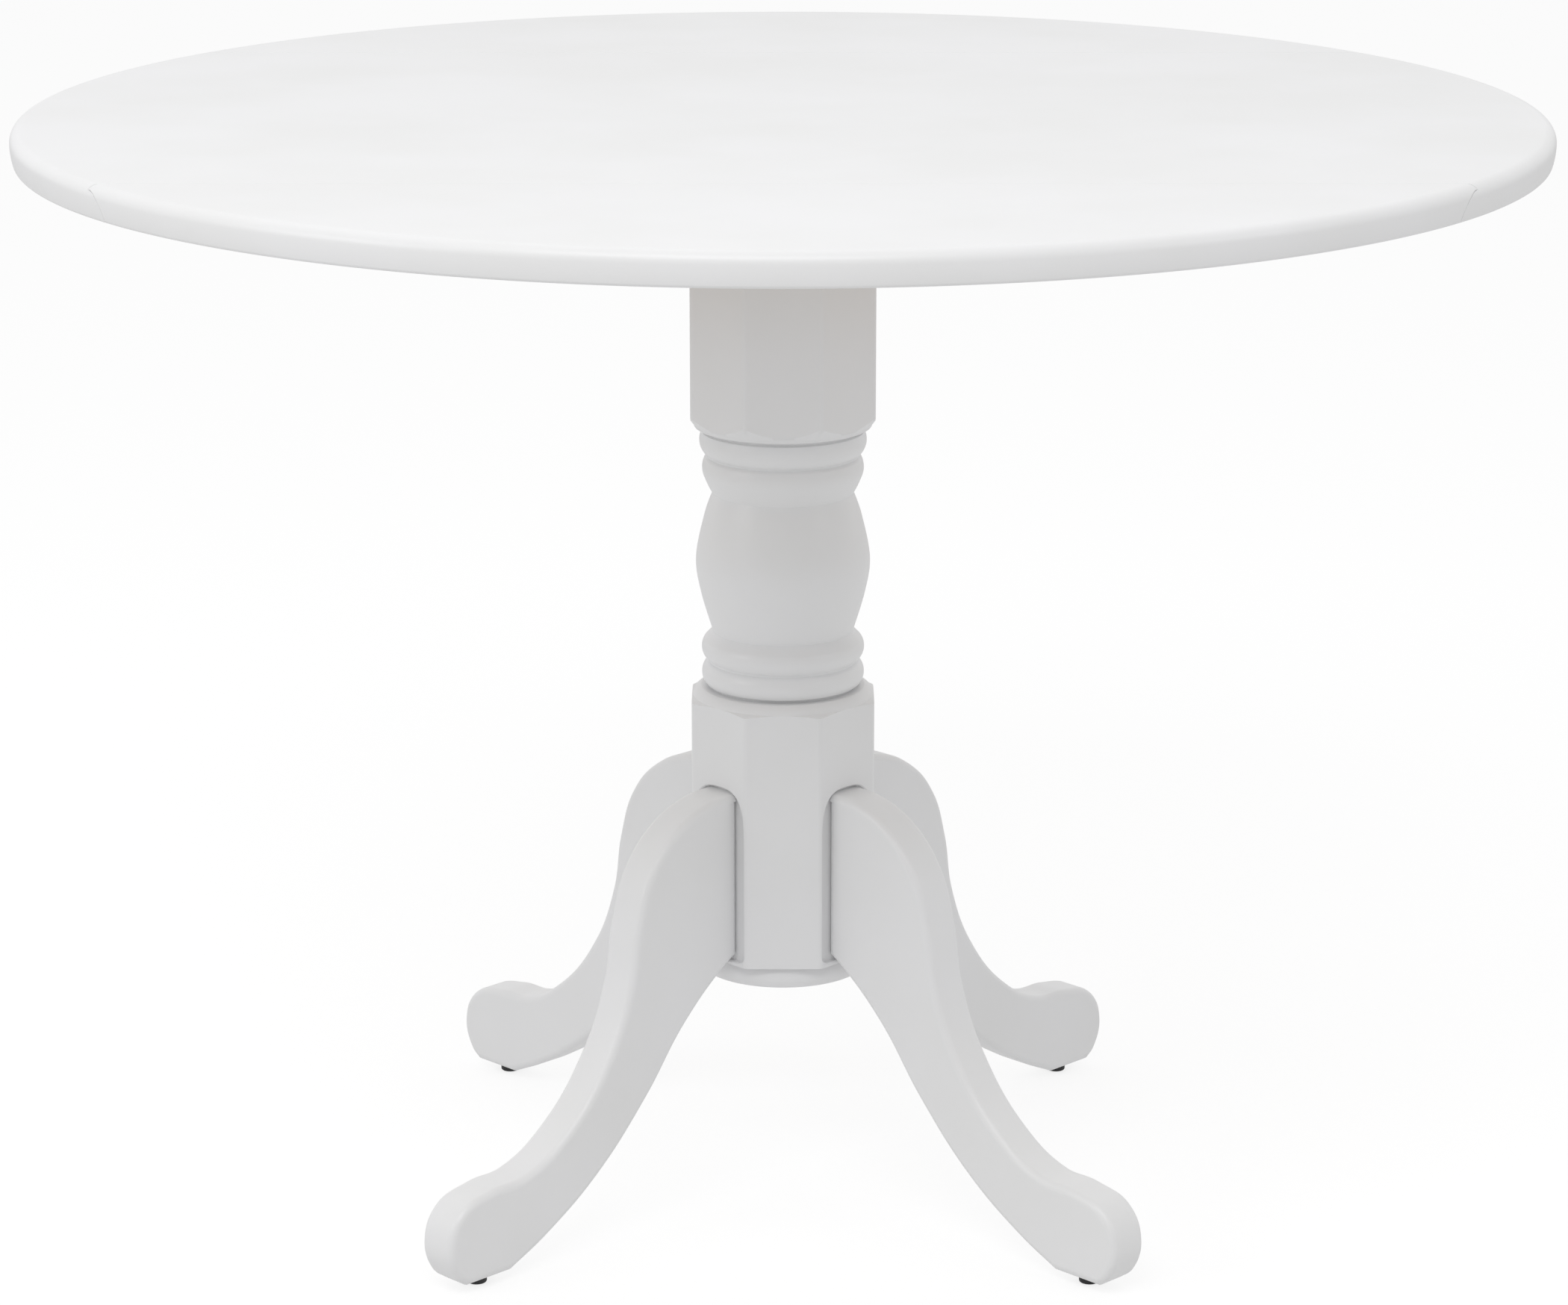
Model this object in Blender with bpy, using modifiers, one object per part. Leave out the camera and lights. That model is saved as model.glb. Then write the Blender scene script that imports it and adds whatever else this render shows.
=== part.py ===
"""Round pedestal table with two drop leaves.

Metres, +Z up. The origin is on the floor, on the pedestal's axis. The leaves are at the front (-Y) and
the back (+Y), shown raised and level with the centre panel.
"""

import math

import bpy
from mathutils import Matrix, Vector

# Overall sizes
TABLE_HEIGHT = 0.749
TOP_DIAMETER = 1.016
TOP_THICKNESS = 0.022
CENTRE_PANEL_WIDTH = 0.56

# Gap kept between pieces that touch
GAP = 0.0003

# Edge of the top
EDGE_UPPER_RADIUS = 0.008
EDGE_LOWER_RADIUS = 0.003
EDGE_BELLY = 0.0016
EDGE_BELLY_SAG = 0.0004
EDGE_BELLY_TURN = 16

# Rule joint between the centre panel and each leaf
HINGE_AXIS_ABOVE_UNDERSIDE = 0.002
RULE_JOINT_STEP = 0.004
RULE_JOINT_CLEARANCE = 0.0005

# Drop-leaf hinges, two to a leaf
HINGE_WIDTH = 0.038
HINGE_RIM_MARGIN = 0.030
PANEL_PLATE_LENGTH = 0.034
LEAF_PLATE_LENGTH = 0.058
PLATE_THICKNESS = 0.0016
KNUCKLE_RADIUS = 0.0036
LEAF_KNUCKLE_WIDTH = 0.0154
HINGE_PIN_RADIUS = 0.0018
HINGE_RUNNING_GAP = 0.0003
MORTISE_CLEARANCE = 0.0008

# Folding elbow stays, two to a leaf: four equal sides between the hinge axis, both brackets and the elbow
STAY_X = 0.105
STAY_REACH = 0.095
STAY_DROP = 0.012
STAY_ARM_WIDTH = 0.013
STAY_ARM_THICKNESS = 0.0025
STAY_BRACKET_THICKNESS = 0.002
STAY_FLANGE_WIDTH = 0.018
STAY_FLANGE_LENGTH = 0.044
RIVET_RADIUS = 0.0025
RIVET_HEAD_RADIUS = 0.0045
RIVET_HEAD_THICKNESS = 0.0015

# Under-frame
MOUNTING_PLATE_SIDE = 0.26
MOUNTING_PLATE_THICKNESS = 0.022
CLEAT_WIDTH = 0.035
CLEAT_THICKNESS = 0.022
CLEAT_SPACING = 0.010
CLEAT_CLEARANCE = 0.013

# Column: an octagon of staves with a turned middle
COLUMN_WIDTH = 0.1244
COLUMN_BORE_RADIUS = 0.034
LOWER_BLOCK_BOTTOM = 0.170
TURNING_BOTTOM = 0.3455
UPPER_BLOCK_BOTTOM = 0.5473
SHOULDER_FOOT = 0.0022
COLUMN_SCREW_RADIUS = 0.0025
COLUMN_SCREW_LENGTH = 0.060
COLUMN_SCREW_HEAD_RADIUS = 0.005
COLUMN_SCREW_HEAD_DEPTH = 0.004

# Bottom cap
CAP_HEIGHT = 0.015
CAP_INSET = 0.0025
CAP_SPIGOT_HEIGHT = 0.010

# Legs and their pockets in the column
LEG_THICKNESS = 0.030
LEG_EASED_EDGE = 0.004
LEG_TOP = 0.2922
LEG_JOINT_BOTTOM = 0.1768
LEG_IN_POCKET = 0.0025
LEG_REACH = 0.2610
POCKET_DEPTH = 0.0040
POCKET_SIDE_MARGIN = 0.009
POCKET_TOP_MARGIN = 0.0023
POCKET_BOTTOM_MARGIN = 0.0043
POCKET_ARCH_HEIGHT = 0.0371

# Leg bolts: a stud into the leg, with a nut and washer inside the column
BOLT_RADIUS = 0.004
BOLT_DEPTH_IN_LEG = 0.040
BOLT_SPACING = 0.062
WASHER_RADIUS = 0.009
WASHER_THICKNESS = 0.0016
NUT_RADIUS = 0.0072
NUT_THICKNESS = 0.0065
BOLT_END = 0.003

# Glides
GLIDE_RADIUS = 0.0068
GLIDE_HEIGHT = 0.006
GLIDE_CIRCLE_RADIUS = 0.2875
GLIDE_NAIL_RADIUS = 0.0012
GLIDE_NAIL_LENGTH = 0.012

# Colours: linear RGB, roughness, metallic
WHITE_PAINT = ((0.80, 0.80, 0.79), 0.35, 0.0)
BARE_WOOD = ((0.55, 0.40, 0.25), 0.60, 0.0)
ZINC_STEEL = ((0.62, 0.63, 0.65), 0.35, 1.0)
BLACK_PLASTIC = ((0.015, 0.015, 0.016), 0.50, 0.0)

TOP_RADIUS = TOP_DIAMETER / 2
UNDERSIDE = TABLE_HEIGHT - TOP_THICKNESS
HINGE_Y = CENTRE_PANEL_WIDTH / 2
HINGE_Z = UNDERSIDE + HINGE_AXIS_ABOVE_UNDERSIDE
RULE_RADIUS = TOP_THICKNESS - RULE_JOINT_STEP - HINGE_AXIS_ABOVE_UNDERSIDE
PLATE_TOP = -HINGE_AXIS_ABOVE_UNDERSIDE - GAP
COLUMN_HALF = COLUMN_WIDTH / 2
COLUMN_TOP = UNDERSIDE - GAP - MOUNTING_PLATE_THICKNESS - GAP
CORNER_RADIUS = COLUMN_HALF / math.cos(math.pi / 8)
LEG_FACE = COLUMN_HALF - POCKET_DEPTH + GAP
OVERCUT = 0.005

FRONT = ("front", -1)
BACK = ("back", 1)
LEG_CORNERS = {
    "front_left": 225,
    "front_right": 315,
    "back_right": 45,
    "back_left": 135,
}


def clear_scene():
    for obj in list(bpy.data.objects):
        bpy.data.objects.remove(obj)


def make_collection(name, hidden=False):
    found = bpy.data.collections.new(name)
    bpy.context.scene.collection.children.link(found)
    found.hide_render = hidden
    return found


def make_material(name, finish):
    colour, roughness, metallic = finish
    made = bpy.data.materials.new(name)
    made.use_nodes = True
    shader = made.node_tree.nodes["Principled BSDF"]
    shader.inputs["Base Color"].default_value = (*colour, 1)
    shader.inputs["Roughness"].default_value = roughness
    shader.inputs["Metallic"].default_value = metallic
    made.diffuse_color = (*colour, 1)
    return made


def polar(radius, degrees):
    angle = math.radians(degrees)
    return Vector((radius * math.cos(angle), radius * math.sin(angle)))


def arc(centre, radius, start, end, steps):
    """Points on a circle in a plane, from one angle in degrees to another."""
    middle = Vector(centre)
    return [
        middle + polar(radius, start + (end - start) * i / steps)
        for i in range(steps + 1)
    ]


def bulge(start, end, height, steps):
    """Points after start up to end, on an arc that stands this far off their chord, to its left."""
    start, end = Vector(start), Vector(end)
    half = (end - start) / 2
    left = Vector((-half.y, half.x)).normalized()
    radius = (half.length**2 + height**2) / (2 * abs(height))
    turn = math.copysign(1, height)
    centre = start + half + left * (height - turn * radius)
    first = start - centre
    sweep = -turn * 2 * math.asin(min(1, half.length / radius))
    return [
        centre + Matrix.Rotation(sweep * i / steps, 2) @ first
        for i in range(1, steps + 1)
    ]


def spline(points, steps):
    """Points after the first, on a smooth curve through all of them."""
    padded = [points[0], *points, points[-1]]
    found = []
    for a, b, c, d in zip(padded, padded[1:], padded[2:], padded[3:]):
        a, b, c, d = (Vector(p) for p in (a, b, c, d))
        for i in range(1, steps + 1):
            t = i / steps
            found.append(
                (
                    2 * b
                    + (c - a) * t
                    + (2 * a - 5 * b + 4 * c - d) * t**2
                    + (3 * b - a - 3 * c + d) * t**3
                )
                / 2
            )
    return found


def plane(origin, across, up):
    """A matrix that stands a drawing's X and Y along two directions, at an origin."""
    across, up = Vector(across), Vector(up)
    turned = Matrix((across, up, across.cross(up))).transposed().to_4x4()
    return Matrix.Translation(origin) @ turned


def add_object(name, data, where, material=None):
    made = bpy.data.objects.new(name, data)
    where.objects.link(made)
    if material:
        data.materials.append(material)
    return made


def as_cutter(obj):
    obj.hide_render = True
    obj.display_type = "WIRE"
    return obj


def freeze(obj):
    """Turns a curve or a modified mesh into a plain mesh in world coordinates."""
    bpy.context.view_layer.update()
    graph = bpy.context.evaluated_depsgraph_get()
    mesh = bpy.data.meshes.new_from_object(obj.evaluated_get(graph))
    mesh.transform(obj.matrix_world)
    name, where, hidden = obj.name, obj.users_collection[0], obj.hide_render
    bpy.data.objects.remove(obj)
    made = add_object(name, mesh, where)
    made.hide_render = hidden
    return made


def weld(obj):
    joined = obj.modifiers.new("weld", "WELD")
    joined.merge_threshold = 0.000001
    return obj


def drawn_solid(name, outline, thickness, matrix, where, material=None, holes=()):
    """A flat outline with holes, given its thickness about the drawing's plane."""
    curve = bpy.data.curves.new(name, "CURVE")
    curve.dimensions = "2D"
    curve.fill_mode = "BOTH"
    curve.extrude = thickness / 2
    for points in (outline, *holes):
        line = curve.splines.new("POLY")
        line.points.add(len(points) - 1)
        for place, point in zip(line.points, points):
            place.co = (point[0], point[1], 0, 1)
        line.use_cyclic_u = True
    made = add_object(name, curve, where, material)
    made.matrix_world = matrix
    return freeze(weld(freeze(made)))


def turned_solid(name, profile, steps, where, material=None, matrix=None, closed=False):
    """A profile of (radius, height) points turned about Z. It runs top to bottom on its outer side."""
    mesh = bpy.data.meshes.new(name)
    count = len(profile)
    edges = [(i, i + 1) for i in range(count - 1)]
    if closed:
        edges.append((count - 1, 0))
    mesh.from_pydata([(r, 0, z) for r, z in profile], edges, [])
    made = add_object(name, mesh, where, material)
    screw = made.modifiers.new("turn", "SCREW")
    screw.steps = screw.render_steps = steps
    screw.use_merge_vertices = True
    screw.merge_threshold = 0.00001
    made.matrix_world = matrix or Matrix()
    return freeze(made)


def cylinder(name, radius, start, end, sides, where, material=None):
    start, end = Vector(start), Vector(end)
    bpy.ops.mesh.primitive_cylinder_add(
        vertices=sides,
        radius=radius,
        depth=(end - start).length,
        location=(start + end) / 2,
        rotation=(end - start).to_track_quat("Z", "Y").to_euler(),
    )
    return adopt(name, where, material)


def block(name, low, high, where, material=None):
    low, high = Vector(low), Vector(high)
    bpy.ops.mesh.primitive_cube_add(
        size=1, location=(low + high) / 2, scale=high - low
    )
    return adopt(name, where, material)


def adopt(name, where, material):
    """Names the primitive just added, and puts it in a collection as a plain mesh."""
    made = bpy.context.object
    made.name = name
    for old in list(made.users_collection):
        old.objects.unlink(made)
    where.objects.link(made)
    if material:
        made.data.materials.append(material)
    return freeze(made)


def boolean(obj, other, operation):
    found = obj.modifiers.new(operation.lower(), "BOOLEAN")
    found.operation = operation
    found.object = as_cutter(other)
    return obj


def joined(name, shapes, material):
    """One body from shapes that overlap: the first takes the others in."""
    for other in shapes[1:]:
        boolean(shapes[0], other, "UNION")
    made = freeze(shapes[0])
    made.name = name
    for other in shapes[1:]:
        bpy.data.objects.remove(other)
    made.data.materials.clear()
    made.data.materials.append(material)
    return made


def hang(obj, origin, parent=None):
    """Moves an object's origin to a point, such as its joint's axis, and parents it there."""
    obj.data.transform(Matrix.Translation(-Vector(origin)))
    if parent:
        obj.parent = parent
        obj.location = Vector(origin) - parent.location
    else:
        obj.location = origin
    for face in obj.data.polygons:
        face.use_smooth = True
    obj.data.set_sharp_from_angle(angle=math.radians(35))
    return obj


clear_scene()
parts = make_collection("drop_leaf_table")
cutters = make_collection("cutters", hidden=True)
white = make_material("white_painted_wood", WHITE_PAINT)
bare = make_material("bare_wood", BARE_WOOD)
zinc = make_material("zinc_plated_steel", ZINC_STEEL)
black = make_material("black_plastic", BLACK_PLASTIC)


def axis_empty(name, origin):
    made = bpy.data.objects.new(name, None)
    made.location = origin
    made.empty_display_size = 0.05
    parts.objects.link(made)
    return made


table_axis = axis_empty("table_axis", (0, 0, 0))
leaf_axes = {
    end: axis_empty(end + "_leaf_axis", (0, side * HINGE_Y, HINGE_Z))
    for end, side in (FRONT, BACK)
}


# Table top


def section_plane(side):
    """The YZ plane at a leaf's hinge axis, drawn outwards and up."""
    return plane((0, side * HINGE_Y, HINGE_Z), (0, side, 0), (0, 0, 1))


def rule_joint_arc(radius, first):
    """The quarter-round of a rule joint about the hinge axis, from an angle down to the underside."""
    last = -math.degrees(math.asin(HINGE_AXIS_ABOVE_UNDERSIDE / radius))
    return arc((0, 0), radius, first, last, 10)


def top_disc(name):
    rim = TOP_RADIUS
    profile = [Vector((0, TABLE_HEIGHT))]
    profile += arc(
        (rim - EDGE_UPPER_RADIUS, TABLE_HEIGHT - EDGE_UPPER_RADIUS),
        EDGE_UPPER_RADIUS,
        90,
        0,
        5,
    )
    inset = EDGE_BELLY + EDGE_LOWER_RADIUS * math.cos(math.radians(EDGE_BELLY_TURN))
    foot = arc(
        (rim - inset, UNDERSIDE + EDGE_LOWER_RADIUS),
        EDGE_LOWER_RADIUS,
        -EDGE_BELLY_TURN,
        -90,
        3,
    )
    profile += bulge(profile[-1], foot[0], EDGE_BELLY_SAG, 2)
    profile += foot[1:]
    profile.append(Vector((0, UNDERSIDE)))
    return turned_solid(name, profile, 96, parts, white)


def hinge_x():
    """How far out the hinges sit: their leaf plate's corner stays inside the rim."""
    corner_y = HINGE_Y + LEAF_PLATE_LENGTH
    corner_x = math.sqrt((TOP_RADIUS - HINGE_RIM_MARGIN) ** 2 - corner_y**2)
    return corner_x - HINGE_WIDTH / 2


def make_centre_panel():
    panel = top_disc("centre_panel")
    above = TOP_THICKNESS + OVERCUT
    joint = rule_joint_arc(RULE_RADIUS, 90)
    half = [Vector((0, above)), *joint, joint[-1] - Vector((0, OVERCUT))]
    half = [Vector((HINGE_Y + p.x, HINGE_Z + p.y)) for p in half]
    outline = half + [Vector((-p.x, p.y)) for p in reversed(half)]
    section = drawn_solid(
        "panel_section",
        outline,
        TOP_DIAMETER + 2 * OVERCUT,
        plane((0, 0, 0), (0, 1, 0), (0, 0, 1)),
        cutters,
    )
    boolean(panel, section, "INTERSECT")
    half_mortise = KNUCKLE_RADIUS + MORTISE_CLEARANCE
    half_width = HINGE_WIDTH / 2 + MORTISE_CLEARANCE
    for end, side in (FRONT, BACK):
        for x in (-hinge_x(), hinge_x()):
            middle = Vector((x, side * HINGE_Y, HINGE_Z))
            reach = Vector((half_width, half_mortise, half_mortise))
            below = Vector((0, 0, -OVERCUT))
            mortise = block(
                end + "_hinge_mortise", middle - reach + below, middle + reach, cutters
            )
            boolean(panel, mortise, "DIFFERENCE")
    return hang(freeze(panel), (0, 0, UNDERSIDE), table_axis)


def make_leaf(end, side):
    leaf = top_disc(end + "_leaf")
    cove = RULE_RADIUS + RULE_JOINT_CLEARANCE
    start = math.degrees(math.acos(RULE_JOINT_CLEARANCE / cove))
    joint = rule_joint_arc(cove, start)
    above, below = TOP_THICKNESS + OVERCUT, joint[-1].y - OVERCUT
    outside = TOP_RADIUS - HINGE_Y + OVERCUT
    outline = [
        Vector((joint[0].x, above)),
        *joint,
        Vector((joint[-1].x, below)),
        Vector((outside, below)),
        Vector((outside, above)),
    ]
    section = drawn_solid(
        end + "_leaf_section",
        outline,
        TOP_DIAMETER + 2 * OVERCUT,
        section_plane(side),
        cutters,
    )
    boolean(leaf, section, "INTERSECT")
    return hang(freeze(leaf), leaf_axes[end].location, leaf_axes[end])


# Drop-leaf hinges


def knuckle_outline(length, hole):
    """A plate that ends in a barrel about the hinge axis, drawn towards -X."""
    plate_bottom = PLATE_TOP - PLATE_THICKNESS
    meets = -math.sqrt(KNUCKLE_RADIUS**2 - PLATE_TOP**2)
    start = math.degrees(math.atan2(PLATE_TOP, meets)) % 360
    barrel = arc((0, 0), KNUCKLE_RADIUS, start, -90, 12)
    outline = [
        Vector((-length, PLATE_TOP)),
        *barrel,
        Vector((0, plate_bottom)),
        Vector((-length, plate_bottom)),
    ]
    return outline, arc((0, 0), hole, 0, 330, 11)


def hinge_plate(name, side, x, length, towards, knuckles):
    """One plate: a flat body clear of the barrel, and a strip with a knuckle for each of its stretches."""
    drawing = plane((x, side * HINGE_Y, HINGE_Z), (0, side * towards, 0), (0, 0, 1))
    clear = KNUCKLE_RADIUS + MORTISE_CLEARANCE
    outline, hole = knuckle_outline(length, HINGE_PIN_RADIUS + HINGE_RUNNING_GAP)
    shapes = []
    body = [
        (-length, PLATE_TOP),
        (-clear, PLATE_TOP),
        (-clear, PLATE_TOP - PLATE_THICKNESS),
        (-length, PLATE_TOP - PLATE_THICKNESS),
    ]
    shapes.append(drawn_solid(name, body, HINGE_WIDTH, drawing, parts))
    short = [Vector((max(p[0], -clear - 0.002), p[1])) for p in outline]
    for low, high in knuckles:
        sign = drawing.col[2].x
        middle = Matrix.Translation((0, 0, sign * (low + high) / 2))
        shapes.append(
            drawn_solid(
                name + "_knuckle",
                short,
                high - low,
                drawing @ middle,
                cutters,
                holes=[hole],
            )
        )
    return joined(name, shapes, zinc)


def make_hinge(end, side, hand, x):
    name = f"{end}_{hand}_hinge"
    middle = LEAF_KNUCKLE_WIDTH / 2
    outer = HINGE_WIDTH / 2
    inner = middle + HINGE_RUNNING_GAP
    panel_plate = hinge_plate(
        name + "_panel_plate",
        side,
        x,
        PANEL_PLATE_LENGTH,
        1,
        [(-outer, -inner), (inner, outer)],
    )
    leaf_plate = hinge_plate(
        name + "_leaf_plate", side, x, LEAF_PLATE_LENGTH, -1, [(-middle, middle)]
    )
    pin = cylinder(
        name + "_pin",
        HINGE_PIN_RADIUS,
        (x - outer, side * HINGE_Y, HINGE_Z),
        (x + outer, side * HINGE_Y, HINGE_Z),
        12,
        parts,
        zinc,
    )
    origin = (x, side * HINGE_Y, HINGE_Z)
    hang(panel_plate, origin, table_axis)
    hang(pin, origin, table_axis)
    hang(leaf_plate, origin, leaf_axes[end])


# Folding stays


def stadium(a, b, half_width):
    """The outline of a bar with round ends about two points."""
    a, b = Vector(a), Vector(b)
    heading = math.degrees(math.atan2(b.y - a.y, b.x - a.x))
    return [
        *arc(a, half_width, heading + 270, heading + 90, 8),
        *arc(b, half_width, heading + 90, heading - 90, 8),
    ]


def rivet(name, frame, at, low, high, head_low):
    """A rivet's shank along the drawing's Z, with its head from head_low to high."""
    spots = [frame @ Vector((at[0], at[1], z)) for z in (low, high, head_low)]
    shank = cylinder(name + "_shank", RIVET_RADIUS, spots[0], spots[1], 16, cutters)
    head = cylinder(
        name + "_head", RIVET_HEAD_RADIUS, spots[2], spots[1], 16, cutters
    )
    return [shank, head]


def bracket(name, frame, at, ear_low, rivet_high):
    """An angle bracket: a flange on the wood, an ear with the pivot, and the pivot's rivet."""
    ear_high = ear_low + STAY_BRACKET_THICKNESS
    ear_mid = (ear_low + ear_high) / 2
    half_length = STAY_FLANGE_LENGTH / 2
    half_ear = STAY_ARM_WIDTH / 2
    ear = [
        (at[0] - half_length, PLATE_TOP),
        (at[0] - half_length, PLATE_TOP - STAY_BRACKET_THICKNESS),
        *arc(at, half_ear, 200, 340, 8),
        (at[0] + half_length, PLATE_TOP - STAY_BRACKET_THICKNESS),
        (at[0] + half_length, PLATE_TOP),
    ]
    plate = drawn_solid(
        name,
        ear,
        STAY_BRACKET_THICKNESS,
        frame @ Matrix.Translation((0, 0, ear_mid)),
        parts,
    )
    flange = [
        (at[0] - half_length, PLATE_TOP),
        (at[0] + half_length, PLATE_TOP),
        (at[0] + half_length, PLATE_TOP - STAY_BRACKET_THICKNESS),
        (at[0] - half_length, PLATE_TOP - STAY_BRACKET_THICKNESS),
    ]
    foot = drawn_solid(
        name + "_flange",
        flange,
        STAY_FLANGE_WIDTH,
        frame @ Matrix.Translation((0, 0, ear_high - STAY_FLANGE_WIDTH / 2)),
        cutters,
    )
    pin = rivet(
        name, frame, at, ear_mid, rivet_high, rivet_high - RIVET_HEAD_THICKNESS
    )
    return joined(name, [plate, foot, *pin], zinc)


def make_stay(end, side, hand, x):
    """The stay's drawing has the hinge axis at its origin, X outwards to the leaf and Y up."""
    name = f"{end}_{hand}_stay"
    frame = plane((x, side * HINGE_Y, HINGE_Z), (0, side, 0), (0, 0, 1))
    fixed = Vector((-STAY_REACH, -STAY_DROP))
    moving = Vector((STAY_REACH, -STAY_DROP))
    elbow = fixed + moving
    half = STAY_ARM_WIDTH / 2
    hole = RIVET_RADIUS + HINGE_RUNNING_GAP
    fixed_ear = 0.0
    upper_low = fixed_ear + STAY_BRACKET_THICKNESS + GAP
    upper_high = upper_low + STAY_ARM_THICKNESS
    lower_low = upper_high + GAP
    lower_high = lower_low + STAY_ARM_THICKNESS
    moving_ear = lower_low - GAP - STAY_BRACKET_THICKNESS
    head = GAP + RIVET_HEAD_THICKNESS
    at_fixed = frame @ Vector((*fixed, 0))
    at_moving = frame @ Vector((*moving, 0))

    fixed_bracket = bracket(
        name + "_panel_bracket", frame, fixed, fixed_ear, upper_high + head
    )
    moving_bracket = bracket(
        name + "_leaf_bracket", frame, moving, moving_ear, lower_high + head
    )
    upper_middle = (upper_low + upper_high) / 2
    upper = drawn_solid(
        name + "_upper_arm",
        stadium(fixed, elbow, half),
        STAY_ARM_THICKNESS,
        frame @ Matrix.Translation((0, 0, upper_middle)),
        parts,
        holes=[arc(fixed, hole, 0, 337.5, 15)],
    )
    elbow_rivet = rivet(
        name + "_elbow", frame, elbow, upper_middle, lower_high + head, lower_high + GAP
    )
    upper = joined(name + "_upper_arm", [upper, *elbow_rivet], zinc)
    lower = drawn_solid(
        name + "_lower_arm",
        stadium(elbow, moving, half),
        STAY_ARM_THICKNESS,
        frame @ Matrix.Translation((0, 0, (lower_low + lower_high) / 2)),
        parts,
        zinc,
        holes=[
            arc(elbow, hole, 0, 337.5, 15),
            arc(moving, hole, 0, 337.5, 15),
        ],
    )
    hang(fixed_bracket, at_fixed, table_axis)
    hang(upper, at_fixed, table_axis)
    hang(moving_bracket, at_moving, leaf_axes[end])
    hang(lower, at_moving, leaf_axes[end])


# Under-frame


def screw_places():
    """The four screws that hold the mounting plate stand in the column's wall."""
    middle = (COLUMN_BORE_RADIUS + COLUMN_HALF) / 2
    return {
        "left": (-middle, 0),
        "right": (middle, 0),
        "front": (0, -middle),
        "back": (0, middle),
    }


def countersunk_profile(extra):
    """A countersunk screw's outline as (radius, height) below its head's face."""
    head, shank = COLUMN_SCREW_HEAD_RADIUS + extra, COLUMN_SCREW_RADIUS + extra
    return [
        (0, 0),
        (head, 0),
        (shank, -COLUMN_SCREW_HEAD_DEPTH - extra),
        (shank, -COLUMN_SCREW_LENGTH - extra),
        (0, -COLUMN_SCREW_LENGTH - 2 * extra),
    ]


def make_mounting_plate(column):
    half = MOUNTING_PLATE_SIDE / 2
    top = UNDERSIDE - GAP
    plate = block(
        "mounting_plate",
        (-half, -half, top - MOUNTING_PLATE_THICKNESS),
        (half, half, top),
        parts,
        bare,
    )
    for place, (x, y) in screw_places().items():
        above = [(r, z + top) for r, z in countersunk_profile(GAP)]
        above[0] = (0, top + OVERCUT)
        above.insert(1, (COLUMN_SCREW_HEAD_RADIUS + GAP, top + OVERCUT))
        hole = turned_solid(
            f"{place}_screw_hole",
            above,
            12,
            cutters,
            matrix=Matrix.Translation((x, y, 0)),
        )
        boolean(plate, hole, "DIFFERENCE")
        boolean(column, hole, "DIFFERENCE")
        screw = turned_solid(
            f"column_screw_{place}",
            [(r, z + top - GAP) for r, z in countersunk_profile(0)],
            12,
            parts,
            zinc,
            Matrix.Translation((x, y, 0)),
        )
        hang(screw, (x, y, top), table_axis)
    return hang(freeze(plate), (0, 0, top), table_axis)


def make_cleats():
    """A batten each side of the mounting plate, short enough to clear the folded stays."""
    top = UNDERSIDE - GAP
    end = HINGE_Y - STAY_REACH - STAY_FLANGE_LENGTH / 2 - CLEAT_CLEARANCE
    inner = MOUNTING_PLATE_SIDE / 2 + CLEAT_SPACING
    for hand, low in (("left", -inner - CLEAT_WIDTH), ("right", inner)):
        cleat = block(
            f"cleat_{hand}",
            (low, -end, top - CLEAT_THICKNESS),
            (low + CLEAT_WIDTH, end, top),
            parts,
            bare,
        )
        hang(cleat, (low + CLEAT_WIDTH / 2, 0, top), table_axis)


# Pedestal column


def column_profile():
    """The turned outline as (inset from the octagon's flat, height above the turning's bottom)."""
    line = [Vector((-OVERCUT, UPPER_BLOCK_BOTTOM - TURNING_BOTTOM)), Vector((0.0030, 0.1912))]
    line += [Vector((0.0092, 0.1902)), Vector((0.0092, 0.1884)), Vector((0.0070, 0.1878))]
    line += bulge(line[-1], (0.0093, 0.1727), -0.0025, 4)
    line += [Vector((0.0107, 0.1718)), Vector((0.0107, 0.1706)), Vector((0.0092, 0.1698))]
    line += bulge(line[-1], (0.0090, 0.1560), -0.0017, 3)
    vase = [
        Vector((0.0143, 0.1452)),
        Vector((0.0087, 0.1290)),
        Vector((0.0030, 0.1000)),
        Vector((0.0062, 0.0762)),
        Vector((0.0142, 0.0490)),
    ]
    line += [vase[0], *spline(vase, 3)]
    line += [Vector((0.0087, 0.0434))]
    line += bulge(line[-1], (0.0100, 0.0298), -0.0026, 4)
    line += [Vector((0.0112, 0.0291)), Vector((0.0112, 0.0277)), Vector((0.0098, 0.0270))]
    line += bulge(line[-1], (0.0094, 0.0124), -0.0028, 4)
    line += [Vector((0.0130, 0.0115)), Vector((0.0130, 0.0097)), Vector((0.0068, 0.0101))]
    line += bulge(line[-1], (0, 0.0042), -0.0010, 3)
    line += [Vector((-OVERCUT, SHOULDER_FOOT))]
    return [Vector((COLUMN_HALF - p.x, TURNING_BOTTOM + p.y)) for p in line]


def octagon(half):
    return [polar(half / math.cos(math.pi / 8), 22.5 + 45 * i) for i in range(8)]


def leg_plane(degrees, distance=0.0):
    """A leg's own plane: X out from the column's axis, Y up."""
    out = polar(1, degrees)
    return plane((out.x * distance, out.y * distance, 0), (*out, 0), (0, 0, 1))


def facet_plane(degrees):
    """The plane of a pocket's floor, seen from outside: X to the right, Y up."""
    out = polar(1, degrees)
    floor = COLUMN_HALF - POCKET_DEPTH
    return plane((out.x * floor, out.y * floor, 0), (-out.y, out.x, 0), (0, 0, 1))


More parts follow.
